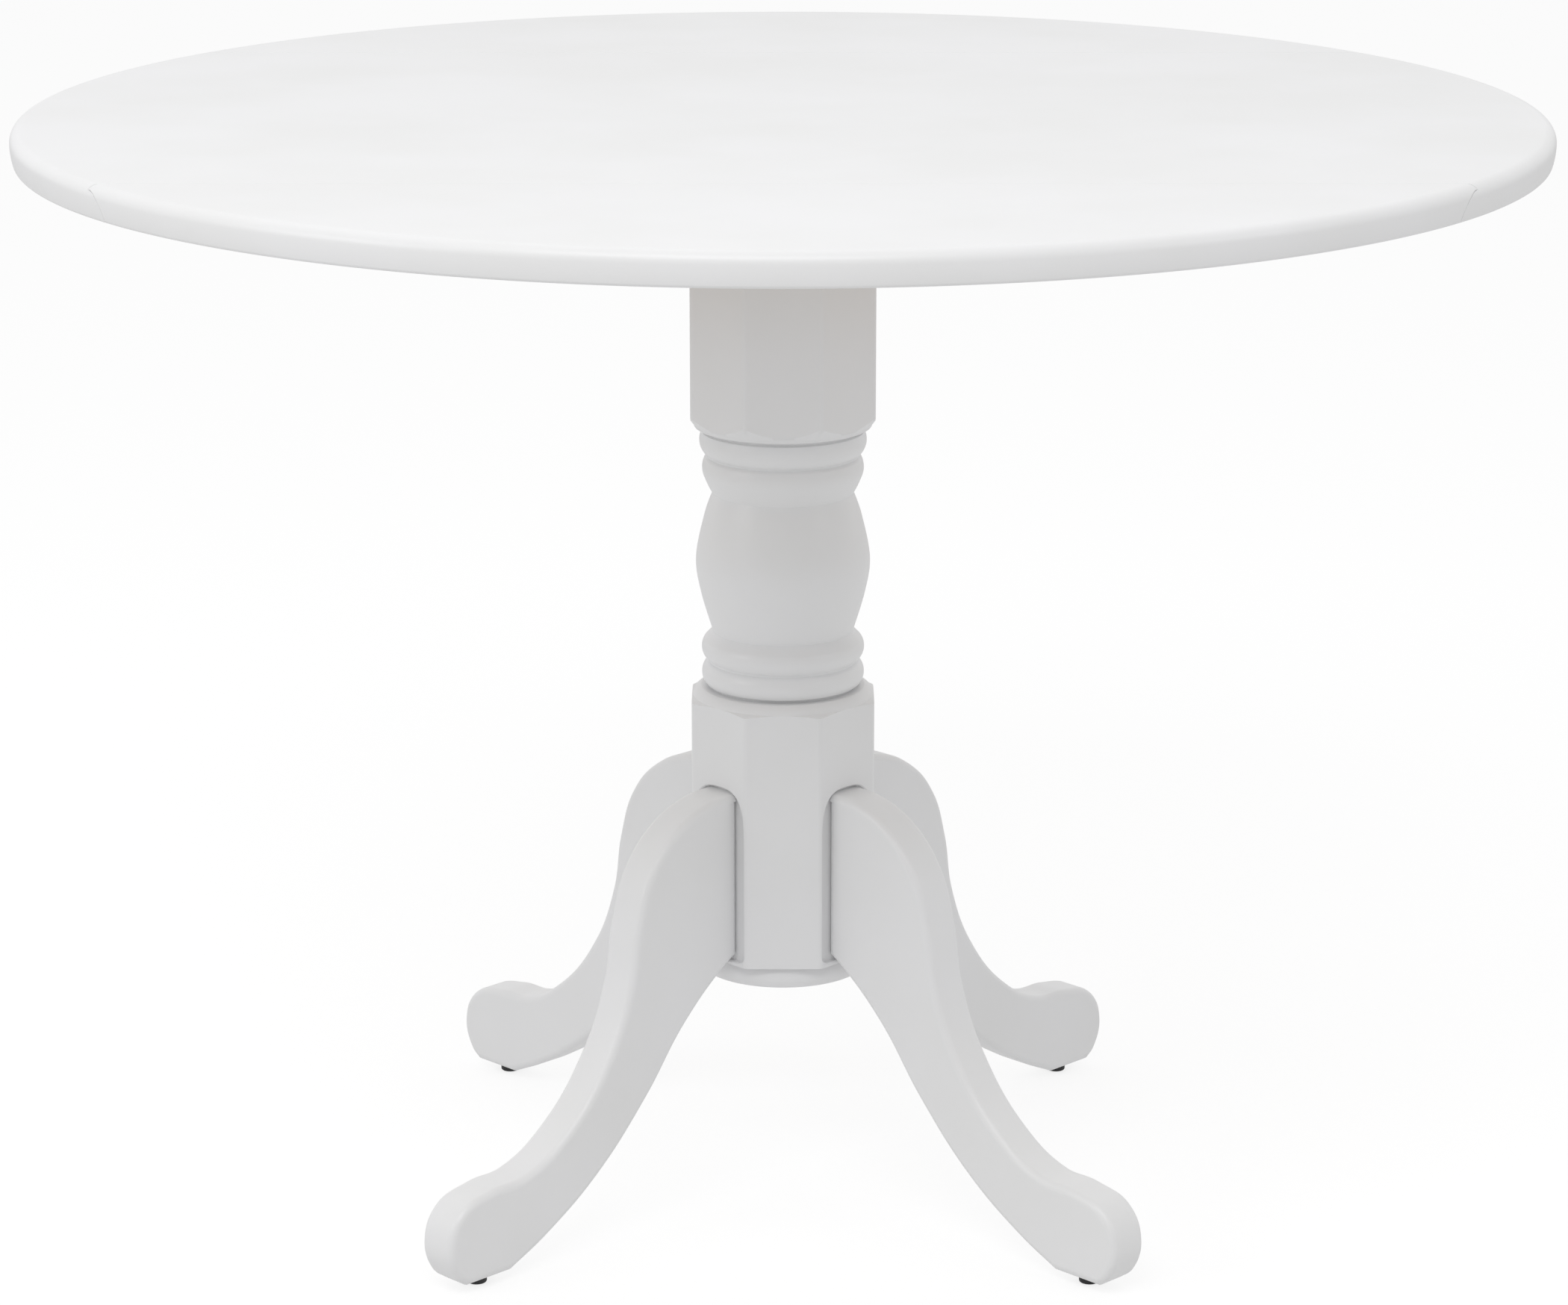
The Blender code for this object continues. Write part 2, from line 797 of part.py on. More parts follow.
def pocket_outline():
    """A pocket for a leg's end: straight sides under a pointed arch drawn as a rounded ellipse."""
    half = LEG_THICKNESS / 2 + POCKET_SIDE_MARGIN
    spring = LEG_TOP + POCKET_TOP_MARGIN - POCKET_ARCH_HEIGHT
    bottom = LEG_JOINT_BOTTOM - POCKET_BOTTOM_MARGIN
    power = 2 / 3
    arch = []
    for i in range(17):
        angle = math.pi * i / 16
        x, y = math.cos(angle), math.sin(angle)
        arch.append(
            Vector(
                (
                    half * math.copysign(abs(x) ** power, x),
                    spring + POCKET_ARCH_HEIGHT * abs(y) ** power,
                )
            )
        )
    corner = 0.006
    left = arc((-half + corner, bottom + corner), corner, 180, 270, 3)
    right = arc((half - corner, bottom + corner), corner, 270, 360, 3)
    return arch + left + right


def bolt_heights():
    middle = (LEG_TOP + LEG_JOINT_BOTTOM) / 2
    return {"upper": middle + BOLT_SPACING / 2, "lower": middle - BOLT_SPACING / 2}


def make_column():
    turning = column_profile()
    beyond = CORNER_RADIUS + OVERCUT
    profile = [
        Vector((beyond, COLUMN_TOP)),
        Vector((beyond, turning[0].y)),
        *turning,
        Vector((beyond, turning[-1].y - OVERCUT)),
        Vector((beyond, LOWER_BLOCK_BOTTOM)),
        Vector((COLUMN_BORE_RADIUS, LOWER_BLOCK_BOTTOM)),
        Vector((COLUMN_BORE_RADIUS, COLUMN_TOP)),
    ]
    column = turned_solid("pedestal_column", profile, 32, parts, white, closed=True)
    height = COLUMN_TOP - LOWER_BLOCK_BOTTOM + 2 * OVERCUT
    prism = drawn_solid(
        "octagon_prism",
        octagon(COLUMN_HALF),
        height,
        Matrix.Translation((0, 0, (COLUMN_TOP + LOWER_BLOCK_BOTTOM) / 2)),
        cutters,
    )
    boolean(column, prism, "INTERSECT")
    hole = BOLT_RADIUS + GAP
    for corner, degrees in LEG_CORNERS.items():
        lift = Matrix.Translation((0, 0, OVERCUT))
        pocket = drawn_solid(
            f"{corner}_pocket",
            pocket_outline(),
            2 * OVERCUT,
            facet_plane(degrees) @ lift,
            cutters,
        )
        boolean(column, pocket, "DIFFERENCE")
        out = polar(1, degrees)
        for height in bolt_heights().values():
            bore = cylinder(
                f"{corner}_bolt_hole",
                hole,
                (*(out * OVERCUT), height),
                (*(out * (CORNER_RADIUS + OVERCUT)), height),
                12,
                cutters,
            )
            boolean(column, bore, "DIFFERENCE")
    return column


def make_bottom_cap():
    """A turned cap that closes the column's bottom, with a spigot in the bore."""
    rim = COLUMN_HALF - CAP_INSET
    top = LOWER_BLOCK_BOTTOM - GAP
    spigot = COLUMN_BORE_RADIUS - 2 * GAP
    outer = [Vector((spigot, top)), Vector((rim - 0.003, top)), Vector((rim - 0.003, top - 0.0015))]
    outer += bulge(outer[-1], (rim - 0.002, top - CAP_HEIGHT + 0.001), 0.002, 4)
    profile = [
        Vector((0, top + CAP_SPIGOT_HEIGHT)),
        Vector((spigot - 0.001, top + CAP_SPIGOT_HEIGHT)),
        *outer,
        Vector((rim - 0.004, top - CAP_HEIGHT)),
        Vector((0, top - CAP_HEIGHT)),
    ]
    cap = turned_solid("column_bottom_cap", profile, 32, parts, white)
    hang(cap, (0, 0, top), table_axis)


# Legs, with their bolts and glides


def leg_outline():
    """Control points as (distance out from the pocket's mouth, height), and whether each is a corner."""
    under = GLIDE_HEIGHT + GAP
    tip = LEG_REACH
    return [
        ((-LEG_IN_POCKET, LEG_TOP), True),
        ((0.0235, 0.2898), False),
        ((0.0520, 0.2775), False),
        ((0.0765, 0.2525), False),
        ((0.0900, 0.2160), False),
        ((0.0975, 0.1760), False),
        ((0.1185, 0.1300), False),
        ((tip - 0.1025, 0.0865), False),
        ((tip - 0.0680, 0.0690), False),
        ((tip - 0.0385, 0.0668), False),
        ((tip - 0.0110, 0.0580), False),
        ((tip, 0.0360), False),
        ((tip - 0.0065, under + 0.0070), False),
        ((tip - 0.0150, under), True),
        ((tip - 0.0530, under), True),
        ((tip - 0.0860, 0.0218), False),
        ((tip - 0.1335, 0.0525), False),
        ((0.0830, 0.0950), False),
        ((0.0460, 0.1390), False),
        ((0.0090, 0.1700), False),
        ((-LEG_IN_POCKET, LEG_JOINT_BOTTOM), True),
    ]


def leg_blank(name, where, matrix):
    curve = bpy.data.curves.new(name, "CURVE")
    curve.dimensions = "2D"
    curve.fill_mode = "BOTH"
    curve.resolution_u = 3
    curve.extrude = LEG_THICKNESS / 2 - LEG_EASED_EDGE
    curve.bevel_depth = LEG_EASED_EDGE
    curve.bevel_resolution = 0
    curve.offset = -LEG_EASED_EDGE
    points = leg_outline()
    line = curve.splines.new("BEZIER")
    line.bezier_points.add(len(points) - 1)
    for place, ((out, up), corner) in zip(line.bezier_points, points):
        place.co = (out + LEG_FACE + LEG_IN_POCKET, up, 0)
        kind = "VECTOR" if corner else "AUTO"
        place.handle_left_type = place.handle_right_type = kind
    line.use_cyclic_u = True
    made = add_object(name, curve, where, white)
    made.matrix_world = matrix
    return freeze(weld(freeze(made)))


def make_leg(corner, degrees):
    leg = leg_blank(f"leg_{corner}", parts, leg_plane(degrees))
    out = polar(1, degrees)
    for height in bolt_heights().values():
        bore = cylinder(
            f"{corner}_leg_bolt_hole",
            BOLT_RADIUS + GAP,
            (*(out * (LEG_FACE - OVERCUT)), height),
            (*(out * (LEG_FACE + BOLT_DEPTH_IN_LEG + GAP)), height),
            12,
            cutters,
        )
        boolean(leg, bore, "DIFFERENCE")
    nail_hole = cylinder(
        f"{corner}_nail_hole",
        GLIDE_NAIL_RADIUS + GAP,
        (*(out * GLIDE_CIRCLE_RADIUS), 0),
        (*(out * GLIDE_CIRCLE_RADIUS), GLIDE_HEIGHT + GLIDE_NAIL_LENGTH + GAP),
        12,
        cutters,
    )
    boolean(leg, nail_hole, "DIFFERENCE")
    face = out * LEG_FACE
    hang(freeze(leg), (face.x, face.y, (LEG_TOP + LEG_JOINT_BOTTOM) / 2), table_axis)


def make_leg_bolts(corner, degrees):
    """Each stud with its nut and washer. The washer's rim rests on the round bore's wall."""
    out = Vector((*polar(1, degrees), 0))
    seat = math.sqrt(COLUMN_BORE_RADIUS**2 - WASHER_RADIUS**2) - GAP
    nut_seat = seat - WASHER_THICKNESS
    for level, height in bolt_heights().items():
        name = f"leg_bolt_{corner}_{level}"
        up = Vector((0, 0, height))
        stud = cylinder(
            name,
            BOLT_RADIUS,
            out * (nut_seat - NUT_THICKNESS - BOLT_END) + up,
            out * (LEG_FACE + BOLT_DEPTH_IN_LEG) + up,
            12,
            parts,
        )
        washer = cylinder(
            name + "_washer", WASHER_RADIUS, out * nut_seat + up, out * seat + up, 16, cutters
        )
        nut = cylinder(
            name + "_nut",
            NUT_RADIUS,
            out * (nut_seat - NUT_THICKNESS) + up,
            out * (nut_seat + WASHER_THICKNESS / 2) + up,
            6,
            cutters,
        )
        bolt = joined(name, [stud, washer, nut], zinc)
        hang(bolt, out * seat + up, table_axis)


def make_glide(corner, degrees):
    """A round plastic glide on a nail that is driven up into the foot."""
    out = polar(GLIDE_CIRCLE_RADIUS, degrees)
    profile = [
        (0, GLIDE_HEIGHT + GLIDE_NAIL_LENGTH),
        (GLIDE_NAIL_RADIUS, GLIDE_HEIGHT + GLIDE_NAIL_LENGTH - 0.002),
        (GLIDE_NAIL_RADIUS, GLIDE_HEIGHT),
        (GLIDE_RADIUS - 0.0004, GLIDE_HEIGHT),
        (GLIDE_RADIUS, GLIDE_HEIGHT - 0.0004),
        (GLIDE_RADIUS, 0.0014),
        (GLIDE_RADIUS - 0.0005, 0.0004),
        (GLIDE_RADIUS - 0.0014, 0),
        (0, 0),
    ]
    glide = turned_solid(
        f"glide_{corner}", profile, 16, parts, black, Matrix.Translation((*out, 0))
    )
    hang(glide, (*out, 0), table_axis)


make_centre_panel()
for end, side in (FRONT, BACK):
    make_leaf(end, side)
    for hand, turn in (("left", -1), ("right", 1)):
        make_hinge(end, side, hand, turn * hinge_x())
        make_stay(end, side, hand, turn * STAY_X)

column = make_column()
make_mounting_plate(column)
hang(freeze(column), (0, 0, LOWER_BLOCK_BOTTOM), table_axis)
make_cleats()
make_bottom_cap()
for corner, degrees in LEG_CORNERS.items():
    make_leg(corner, degrees)
    make_leg_bolts(corner, degrees)
    make_glide(corner, degrees)
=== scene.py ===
import math

import bpy
from mathutils import Matrix, Vector


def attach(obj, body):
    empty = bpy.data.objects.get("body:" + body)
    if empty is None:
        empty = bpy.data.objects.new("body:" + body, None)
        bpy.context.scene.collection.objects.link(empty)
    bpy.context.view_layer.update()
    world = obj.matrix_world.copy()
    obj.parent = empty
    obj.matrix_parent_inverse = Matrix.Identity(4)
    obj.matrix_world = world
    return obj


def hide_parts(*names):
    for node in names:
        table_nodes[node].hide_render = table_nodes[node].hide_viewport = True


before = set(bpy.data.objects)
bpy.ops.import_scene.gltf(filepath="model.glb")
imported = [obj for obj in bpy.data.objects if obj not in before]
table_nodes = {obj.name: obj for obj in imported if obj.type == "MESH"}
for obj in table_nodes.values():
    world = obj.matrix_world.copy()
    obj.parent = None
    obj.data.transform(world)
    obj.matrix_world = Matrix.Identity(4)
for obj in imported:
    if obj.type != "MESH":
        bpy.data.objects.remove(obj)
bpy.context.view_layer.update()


# The column: eight staves of hardwood glued into a hollow octagon, with the middle turned on a lathe to
# two pairs of rings and a vase. Each diagonal facet has a shallow arched pocket that a leg stands in.
# It's sprayed with white lacquer.

COLUMN_HALF = 0.0622
COLUMN_BORE = 0.034
COLUMN_BOTTOM = 0.170
COLUMN_TOP = 0.7044
TURNING_BOTTOM = 0.3455
STAVE_EDGE_ROUND = 0.0022
POCKET_DEPTH = 0.0040
POCKET_HALF_WIDTH = 0.024
POCKET_BOTTOM = 0.1725
POCKET_SPRING = 0.2574
POCKET_ARCH_HEIGHT = 0.0371
POCKET_ARCH_SQUARENESS = 2 / 3
POCKET_CORNER = 0.006
POCKET_MOUTH_CHAMFER = 0.0007
LEG_TURNS = {"front_left": 225, "front_right": 315, "back_right": 45, "back_left": 135}
LATHE_STEPS = 128
BEYOND = 0.005


def polar(radius, degrees):
    angle = math.radians(degrees)
    return Vector((radius * math.cos(angle), radius * math.sin(angle)))


def arc(centre, radius, start, end, steps):
    """Points on a circle in a plane, from one angle in degrees to another."""
    return [
        Vector(centre) + polar(radius, start + (end - start) * i / steps) for i in range(steps + 1)
    ]


def bulge(start, end, height, steps=8):
    """Points after start up to end, on an arc that stands this far off their chord, to its left."""
    start, end = Vector(start), Vector(end)
    half = (end - start) / 2
    left = Vector((-half.y, half.x)).normalized()
    radius = (half.length**2 + height**2) / (2 * abs(height))
    side = math.copysign(1, height)
    centre = start + half + left * (height - side * radius)
    sweep = -side * 2 * math.asin(min(1, half.length / radius))
    return [
        centre + Matrix.Rotation(sweep * i / steps, 2) @ (start - centre)
        for i in range(1, steps + 1)
    ]


def fair(points, steps):
    """Points after the first, on a smooth curve through all of them."""
    ends = [points[0], *points, points[-1]]
    found = []
    for a, b, c, d in zip(ends, ends[1:], ends[2:], ends[3:]):
        a, b, c, d = (Vector(p) for p in (a, b, c, d))
        for i in range(1, steps + 1):
            t = i / steps
            bend = (2 * a - 5 * b + 4 * c - d) * t**2 + (3 * b - a - 3 * c + d) * t**3
            found.append((2 * b + (c - a) * t + bend) / 2)
    return found


def select_nothing():
    bpy.ops.object.select_all(action="DESELECT")


def draw_line(name, points):
    """A chain of edges through these points, extruded one by one and left open in edit mode."""
    select_nothing()
    bpy.ops.mesh.primitive_plane_add(size=0.001)
    made = bpy.context.object
    made.name = made.data.name = name
    bpy.ops.object.mode_set(mode="EDIT")
    bpy.ops.mesh.select_mode(type="VERT")
    bpy.ops.mesh.select_all(action="SELECT")
    bpy.ops.mesh.merge(type="CENTER")
    bpy.ops.transform.translate(value=Vector(points[0]))
    for a, b in zip(points, points[1:]):
        bpy.ops.mesh.extrude_region_move(TRANSFORM_OT_translate={"value": Vector(b) - Vector(a)})
    bpy.ops.mesh.select_all(action="SELECT")
    return made


def close_mesh():
    """Merges the doubles of the mesh in edit mode, points its faces outwards and leaves edit mode."""
    bpy.ops.mesh.select_all(action="SELECT")
    bpy.ops.mesh.remove_doubles(threshold=0.00001)
    bpy.ops.mesh.normals_make_consistent(inside=False)
    bpy.ops.object.mode_set(mode="OBJECT")


def turn_on_lathe(name, profile, steps):
    """A (radius, height) profile turned about Z."""
    made = draw_line(name, [(r, 0, z) for r, z in profile])
    bpy.ops.mesh.spin(steps=steps, angle=math.tau, center=(0, 0, 0), axis=(0, 0, 1))
    close_mesh()
    return made


def saw_out(name, outline, thickness):
    """A board with this outline in X and Y, its thickness upwards from Z 0."""
    made = draw_line(name, [(x, y, 0) for x, y in outline])
    bpy.ops.mesh.edge_face_add()
    bpy.ops.mesh.extrude_region_move(TRANSFORM_OT_translate={"value": (0, 0, thickness)})
    close_mesh()
    return made


def pick_only(obj):
    select_nothing()
    obj.select_set(True)
    bpy.context.view_layer.objects.active = obj


def apply_modifier(obj, kind, **settings):
    pick_only(obj)
    modifier = obj.modifiers.new(kind.lower(), kind)
    for name, value in settings.items():
        setattr(modifier, name, value)
    bpy.ops.object.modifier_apply(modifier=modifier.name)
    return obj


def cut(obj, cutter, places=(Matrix(),), operation="DIFFERENCE"):
    """Cuts an object with one cutter at each of these places, then throws the cutter away."""
    at_rest = cutter.matrix_world.copy()
    for place in places:
        cutter.matrix_world = place @ at_rest
        apply_modifier(obj, "BOOLEAN", operation=operation, solver="EXACT", object=cutter)
    bpy.data.objects.remove(cutter)
    return obj


def select_edges(obj, wanted):
    """Opens the object in edit mode with the edges selected whose two ends pass a test of place."""
    pick_only(obj)
    bpy.ops.object.mode_set(mode="EDIT")
    bpy.ops.mesh.select_mode(type="EDGE")
    bpy.ops.mesh.select_all(action="DESELECT")
    bpy.ops.object.mode_set(mode="OBJECT")
    places = [obj.matrix_world @ v.co for v in obj.data.vertices]
    for edge in obj.data.edges:
        edge.select = wanted(*(places[i] for i in edge.vertices))
    bpy.ops.object.mode_set(mode="EDIT")


def select_upward_faces(obj):
    """Opens the object in edit mode with the faces selected that point up in its own mesh."""
    pick_only(obj)
    bpy.ops.object.mode_set(mode="EDIT")
    bpy.ops.mesh.select_mode(type="FACE")
    bpy.ops.mesh.select_all(action="DESELECT")
    bpy.ops.object.mode_set(mode="OBJECT")
    for face in obj.data.polygons:
        face.select = face.normal.z > 0.9
    bpy.ops.object.mode_set(mode="EDIT")


def smooth(obj, degrees=38):
    """Smooth shading with crisp edges past an angle, and flat faces kept flat beside small rounds."""
    pick_only(obj)
    bpy.ops.object.shade_smooth_by_angle(angle=math.radians(degrees))
    return apply_modifier(obj, "WEIGHTED_NORMAL", keep_sharp=True)


def turned_middle():
    """The turned outline from the upper block down, as (radius, height)."""
    line = [Vector((-BEYOND, 0.2018)), Vector((0.0018, 0.1930))]
    line += bulge(line[-1], (0.0030, 0.1912), -0.0004, 3)
    line += [Vector((0.0092, 0.1902)), Vector((0.0092, 0.1884)), Vector((0.0070, 0.1878))]
    line += bulge(line[-1], (0.0093, 0.1727), -0.0025, 12)
    line += [Vector((0.0107, 0.1718)), Vector((0.0107, 0.1706)), Vector((0.0092, 0.1698))]
    line += bulge(line[-1], (0.0090, 0.1560), -0.0017, 10)
    line += bulge(line[-1], (0.0143, 0.1452), -0.0003, 4)
    vase = [line[-1], (0.0087, 0.1290), (0.0030, 0.1000), (0.0062, 0.0762), (0.0142, 0.0490)]
    line += fair(vase, 10)
    line += [Vector((0.0087, 0.0434))]
    line += bulge(line[-1], (0.0100, 0.0298), -0.0026, 12)
    line += [Vector((0.0112, 0.0291)), Vector((0.0112, 0.0277)), Vector((0.0098, 0.0270))]
    line += bulge(line[-1], (0.0094, 0.0124), -0.0028, 12)
    line += [Vector((0.0130, 0.0115)), Vector((0.0130, 0.0097)), Vector((0.0068, 0.0101))]
    line += bulge(line[-1], (0, 0.0042), -0.0010, 8)
    line += [Vector((-BEYOND, 0.0022))]
    return [Vector((COLUMN_HALF - p.x, TURNING_BOTTOM + p.y)) for p in line]


def stave_prism():
    """The octagon of staves, its long corners rounded over."""
    height = COLUMN_TOP - COLUMN_BOTTOM + 2 * BEYOND
    select_nothing()
    bpy.ops.mesh.primitive_cylinder_add(
        vertices=8,
        radius=COLUMN_HALF / math.cos(math.pi / 8),
        depth=height,
        location=(0, 0, (COLUMN_TOP + COLUMN_BOTTOM) / 2),
        rotation=(0, 0, math.pi / 8),
    )
    prism = bpy.context.object
    select_edges(prism, lambda a, b: abs(a.z - b.z) > height / 2)
    bpy.ops.mesh.bevel(offset=STAVE_EDGE_ROUND, segments=4)
    bpy.ops.object.mode_set(mode="OBJECT")
    return prism


def pocket_outline():
    """Straight sides under an arch that is squarer than a half circle, with small round lower corners."""
    arch = []
    for i in range(49):
        angle = math.pi * i / 48
        x, y = math.cos(angle), math.sin(angle)
        across = math.copysign(abs(x) ** POCKET_ARCH_SQUARENESS, x)
        up = abs(y) ** POCKET_ARCH_SQUARENESS
        arch.append((POCKET_HALF_WIDTH * across, POCKET_SPRING + POCKET_ARCH_HEIGHT * up))
    inner = POCKET_HALF_WIDTH - POCKET_CORNER
    low = POCKET_BOTTOM + POCKET_CORNER
    left = arc((-inner, low), POCKET_CORNER, 180, 270, 8)
    right = arc((inner, low), POCKET_CORNER, 270, 360, 8)
    return arch + left + right


def pocket_cutter():
    """It stands with its floor in the XZ plane at the pocket's depth, and flares at the mouth."""
    wall = POCKET_DEPTH - POCKET_MOUTH_CHAMFER
    cutter = saw_out("pocket_cutter", pocket_outline(), wall)
    select_upward_faces(cutter)
    bpy.ops.mesh.extrude_region_move(TRANSFORM_OT_translate={"value": (0, 0, BEYOND)})
    half_height = (POCKET_SPRING + POCKET_ARCH_HEIGHT - POCKET_BOTTOM) / 2
    bpy.ops.transform.resize(
        value=(1 + BEYOND / POCKET_HALF_WIDTH, 1 + BEYOND / half_height, 1),
        center_override=(0, POCKET_BOTTOM + half_height, 0),
    )
    bpy.ops.object.mode_set(mode="OBJECT")
    floor = COLUMN_HALF - POCKET_DEPTH
    cutter.matrix_world = Matrix.Translation((0, -floor, 0)) @ Matrix.Rotation(math.pi / 2, 4, "X")
    return cutter


def upright_turn(degrees):
    return Matrix.Rotation(math.radians(degrees), 4, "Z")


column_line = turned_middle()
corner = COLUMN_HALF / math.cos(math.pi / 8) + BEYOND
column = turn_on_lathe(
    "lacquered_column",
    [
        (corner, COLUMN_TOP),
        (corner, column_line[0].y),
        *column_line,
        (corner, column_line[-1].y - BEYOND),
        (corner, COLUMN_BOTTOM),
        (COLUMN_BORE, COLUMN_BOTTOM),
        (COLUMN_BORE, COLUMN_TOP),
        (corner, COLUMN_TOP),
    ],
    LATHE_STEPS,
)
cut(column, stave_prism(), operation="INTERSECT")
quarter_turns = [upright_turn(degrees + 90) for degrees in LEG_TURNS.values()]
cut(column, pocket_cutter(), quarter_turns)
smooth(column)


# White satin lacquer: pigmented acrylic-urethane sprayed over sealed hardwood. The spray levels to a faint
# orange peel, the wood's grain just shows as long shallow ripples, and the sheen is even and low.

LACQUER_WHITE = "EFEFF0"
LACQUER_WARM = "ECECEC"
ORANGE_PEEL_MM = 2.2
GRAIN_RIPPLE_MM = 5.0
GRAIN_LENGTH_RATIO = 24
SHEEN_PATCH_MM = 140


def linear(hex_colour):
    """An sRGB hex colour as linear RGBA."""
    values = [int(hex_colour[i : i + 2], 16) / 255 for i in (0, 2, 4)]
    return (*(v / 12.92 if v <= 0.04045 else ((v + 0.055) / 1.055) ** 2.4 for v in values), 1)


def per_metre(millimetres):
    """The texture scale whose pattern repeats about once in this length."""
    return 1000 / millimetres


def link(tree, node, sources):
    for socket, source in sources.items():
        tree.links.new(source, node.inputs[socket])


def add_node(tree, kind, links=None, stops=(), **settings):
    """Adds a node. Settings are its properties, or its sockets' values where it has no such property,
    and stops are a colour ramp's positions and colours."""
    node = tree.nodes.new(f"ShaderNode{kind}")
    for i, (position, hex_colour) in enumerate(stops):
        node.color_ramp.elements[i].position = position
        node.color_ramp.elements[i].color = linear(hex_colour)
    for name, value in settings.items():
        if hasattr(node, name):
            setattr(node, name, value)
        else:
            node.inputs[name.replace("_", " ")].default_value = value
    link(tree, node, links or {})
    return node


def new_material(name, **settings):
    """A new material, its node tree, its shader with these values, and its Object coordinates."""
    material = bpy.data.materials.new(name)
    material.use_nodes = True
    tree = material.node_tree
    shader = tree.nodes["Principled BSDF"]
    for socket, value in settings.items():
        shader.inputs[socket.replace("_", " ")].default_value = value
    place = add_node(tree, "TexCoord").outputs["Object"]
    return material, tree, shader, place


def white_lacquer(name, grain_turn=(0, 0, 0)):
    """The grain runs along X until it's turned."""
    material, tree, shader, place = new_material(name, IOR=1.5)
    along = add_node(
        tree,
        "Mapping",
        {"Vector": place},
        Rotation=grain_turn,
        Scale=(1 / GRAIN_LENGTH_RATIO, 1, 1),
    )
    grain = add_node(
        tree,
        "TexNoise",
        {"Vector": along.outputs["Vector"]},
        Scale=per_metre(GRAIN_RIPPLE_MM),
        Detail=4.0,
        Roughness=0.6,
    )
    peel = add_node(
        tree, "TexNoise", {"Vector": place}, Scale=per_metre(ORANGE_PEEL_MM), Detail=2.0
    )
    patches = add_node(
        tree, "TexNoise", {"Vector": place}, Scale=per_metre(SHEEN_PATCH_MM), Detail=3.0
    )
    tone = add_node(
        tree,
        "ValToRGB",
        {"Fac": patches.outputs["Fac"]},
        stops=((0.35, LACQUER_WHITE), (0.65, LACQUER_WARM)),
    )
    sheen = add_node(tree, "MapRange", {"Value": patches.outputs["Fac"]}, To_Min=0.30, To_Max=0.38)
    ripple = add_node(
        tree, "Bump", {"Height": grain.outputs["Fac"]}, Strength=0.25, Distance=0.00012
    )
    skin = add_node(
        tree,
        "Bump",
        {"Height": peel.outputs["Fac"], "Normal": ripple.outputs["Normal"]},
        Strength=0.3,
        Distance=0.00010,
    )
    link(
        tree,
        shader,
        {
            "Base Color": tone.outputs["Color"],
            "Roughness": sheen.outputs["Result"],
            "Normal": skin.outputs["Normal"],
        },
    )
    return material


def finish_piece(piece, material, slot, body, *nodes):
    """Gives a piece its material, the body it rides on and the nodes it stands for. Its slot is not used.
    """
    piece.data.materials.clear()
    piece.data.materials.append(material)
    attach(piece, body)
    if nodes:
        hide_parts(*nodes)


BASE = "base_and_centre"
UPRIGHT_GRAIN = (0, math.pi / 2, 0)
upright_lacquer = white_lacquer("white_satin_lacquer_upright", UPRIGHT_GRAIN)
finish_piece(column, upright_lacquer, "white_paint", BASE, "pedestal_column")


# The bottom cap: a turned disc of the same lacquered hardwood that closes the hollow column, with a
# rounded rim a little inside the facets and a spigot that centres it in the bore.

CAP_RIM = 0.0597
CAP_TOP = 0.1697
CAP_HEIGHT = 0.015
CAP_SPIGOT_RADIUS = 0.0334
CAP_SPIGOT_HEIGHT = 0.010
CAP_ARRIS = 0.001
CAP_ARRIS_SAG = 0.0004
CAP_NECK_INSET = 0.003
CAP_NECK_HEIGHT = 0.0015
CAP_BELLY = 0.002

neck = CAP_RIM - CAP_NECK_INSET
cap_bottom = CAP_TOP - CAP_HEIGHT
spigot_top = CAP_TOP + CAP_SPIGOT_HEIGHT
cap_outline = [
    (0, spigot_top),
    (CAP_SPIGOT_RADIUS - CAP_ARRIS, spigot_top),
    (CAP_SPIGOT_RADIUS, spigot_top - CAP_ARRIS),
    (CAP_SPIGOT_RADIUS, CAP_TOP),
    (neck, CAP_TOP),
    (neck, CAP_TOP - CAP_NECK_HEIGHT),
]
belly_foot = (neck + CAP_ARRIS, cap_bottom + CAP_ARRIS)
cap_outline += bulge(cap_outline[-1], belly_foot, CAP_BELLY, 12)
cap_outline += bulge(cap_outline[-1], (neck - CAP_ARRIS, cap_bottom), CAP_ARRIS_SAG, 4)
cap_outline.append((0, cap_bottom))
cap = smooth(turn_on_lathe("lacquered_bottom_cap", cap_outline, LATHE_STEPS))
finish_piece(cap, upright_lacquer, "white_paint", BASE, "column_bottom_cap")


# The legs: four S-curved feet bandsawn from 30 mm hardwood, their edges rounded over on a router table
# and sprayed with the same lacquer. Each stands in a pocket, held by two hanger bolts.

LEG_THICKNESS = 0.030
LEG_EDGE_ROUND = 0.0050
LEG_FACE = 0.0610
LEG_REACH = 0.2610
LEG_TOP = 0.2922
LEG_JOINT_BOTTOM = 0.1768
LEG_IN_POCKET = 0.0025
LEG_SOLE = 0.0063
LEG_GRAIN_SLOPE = 42


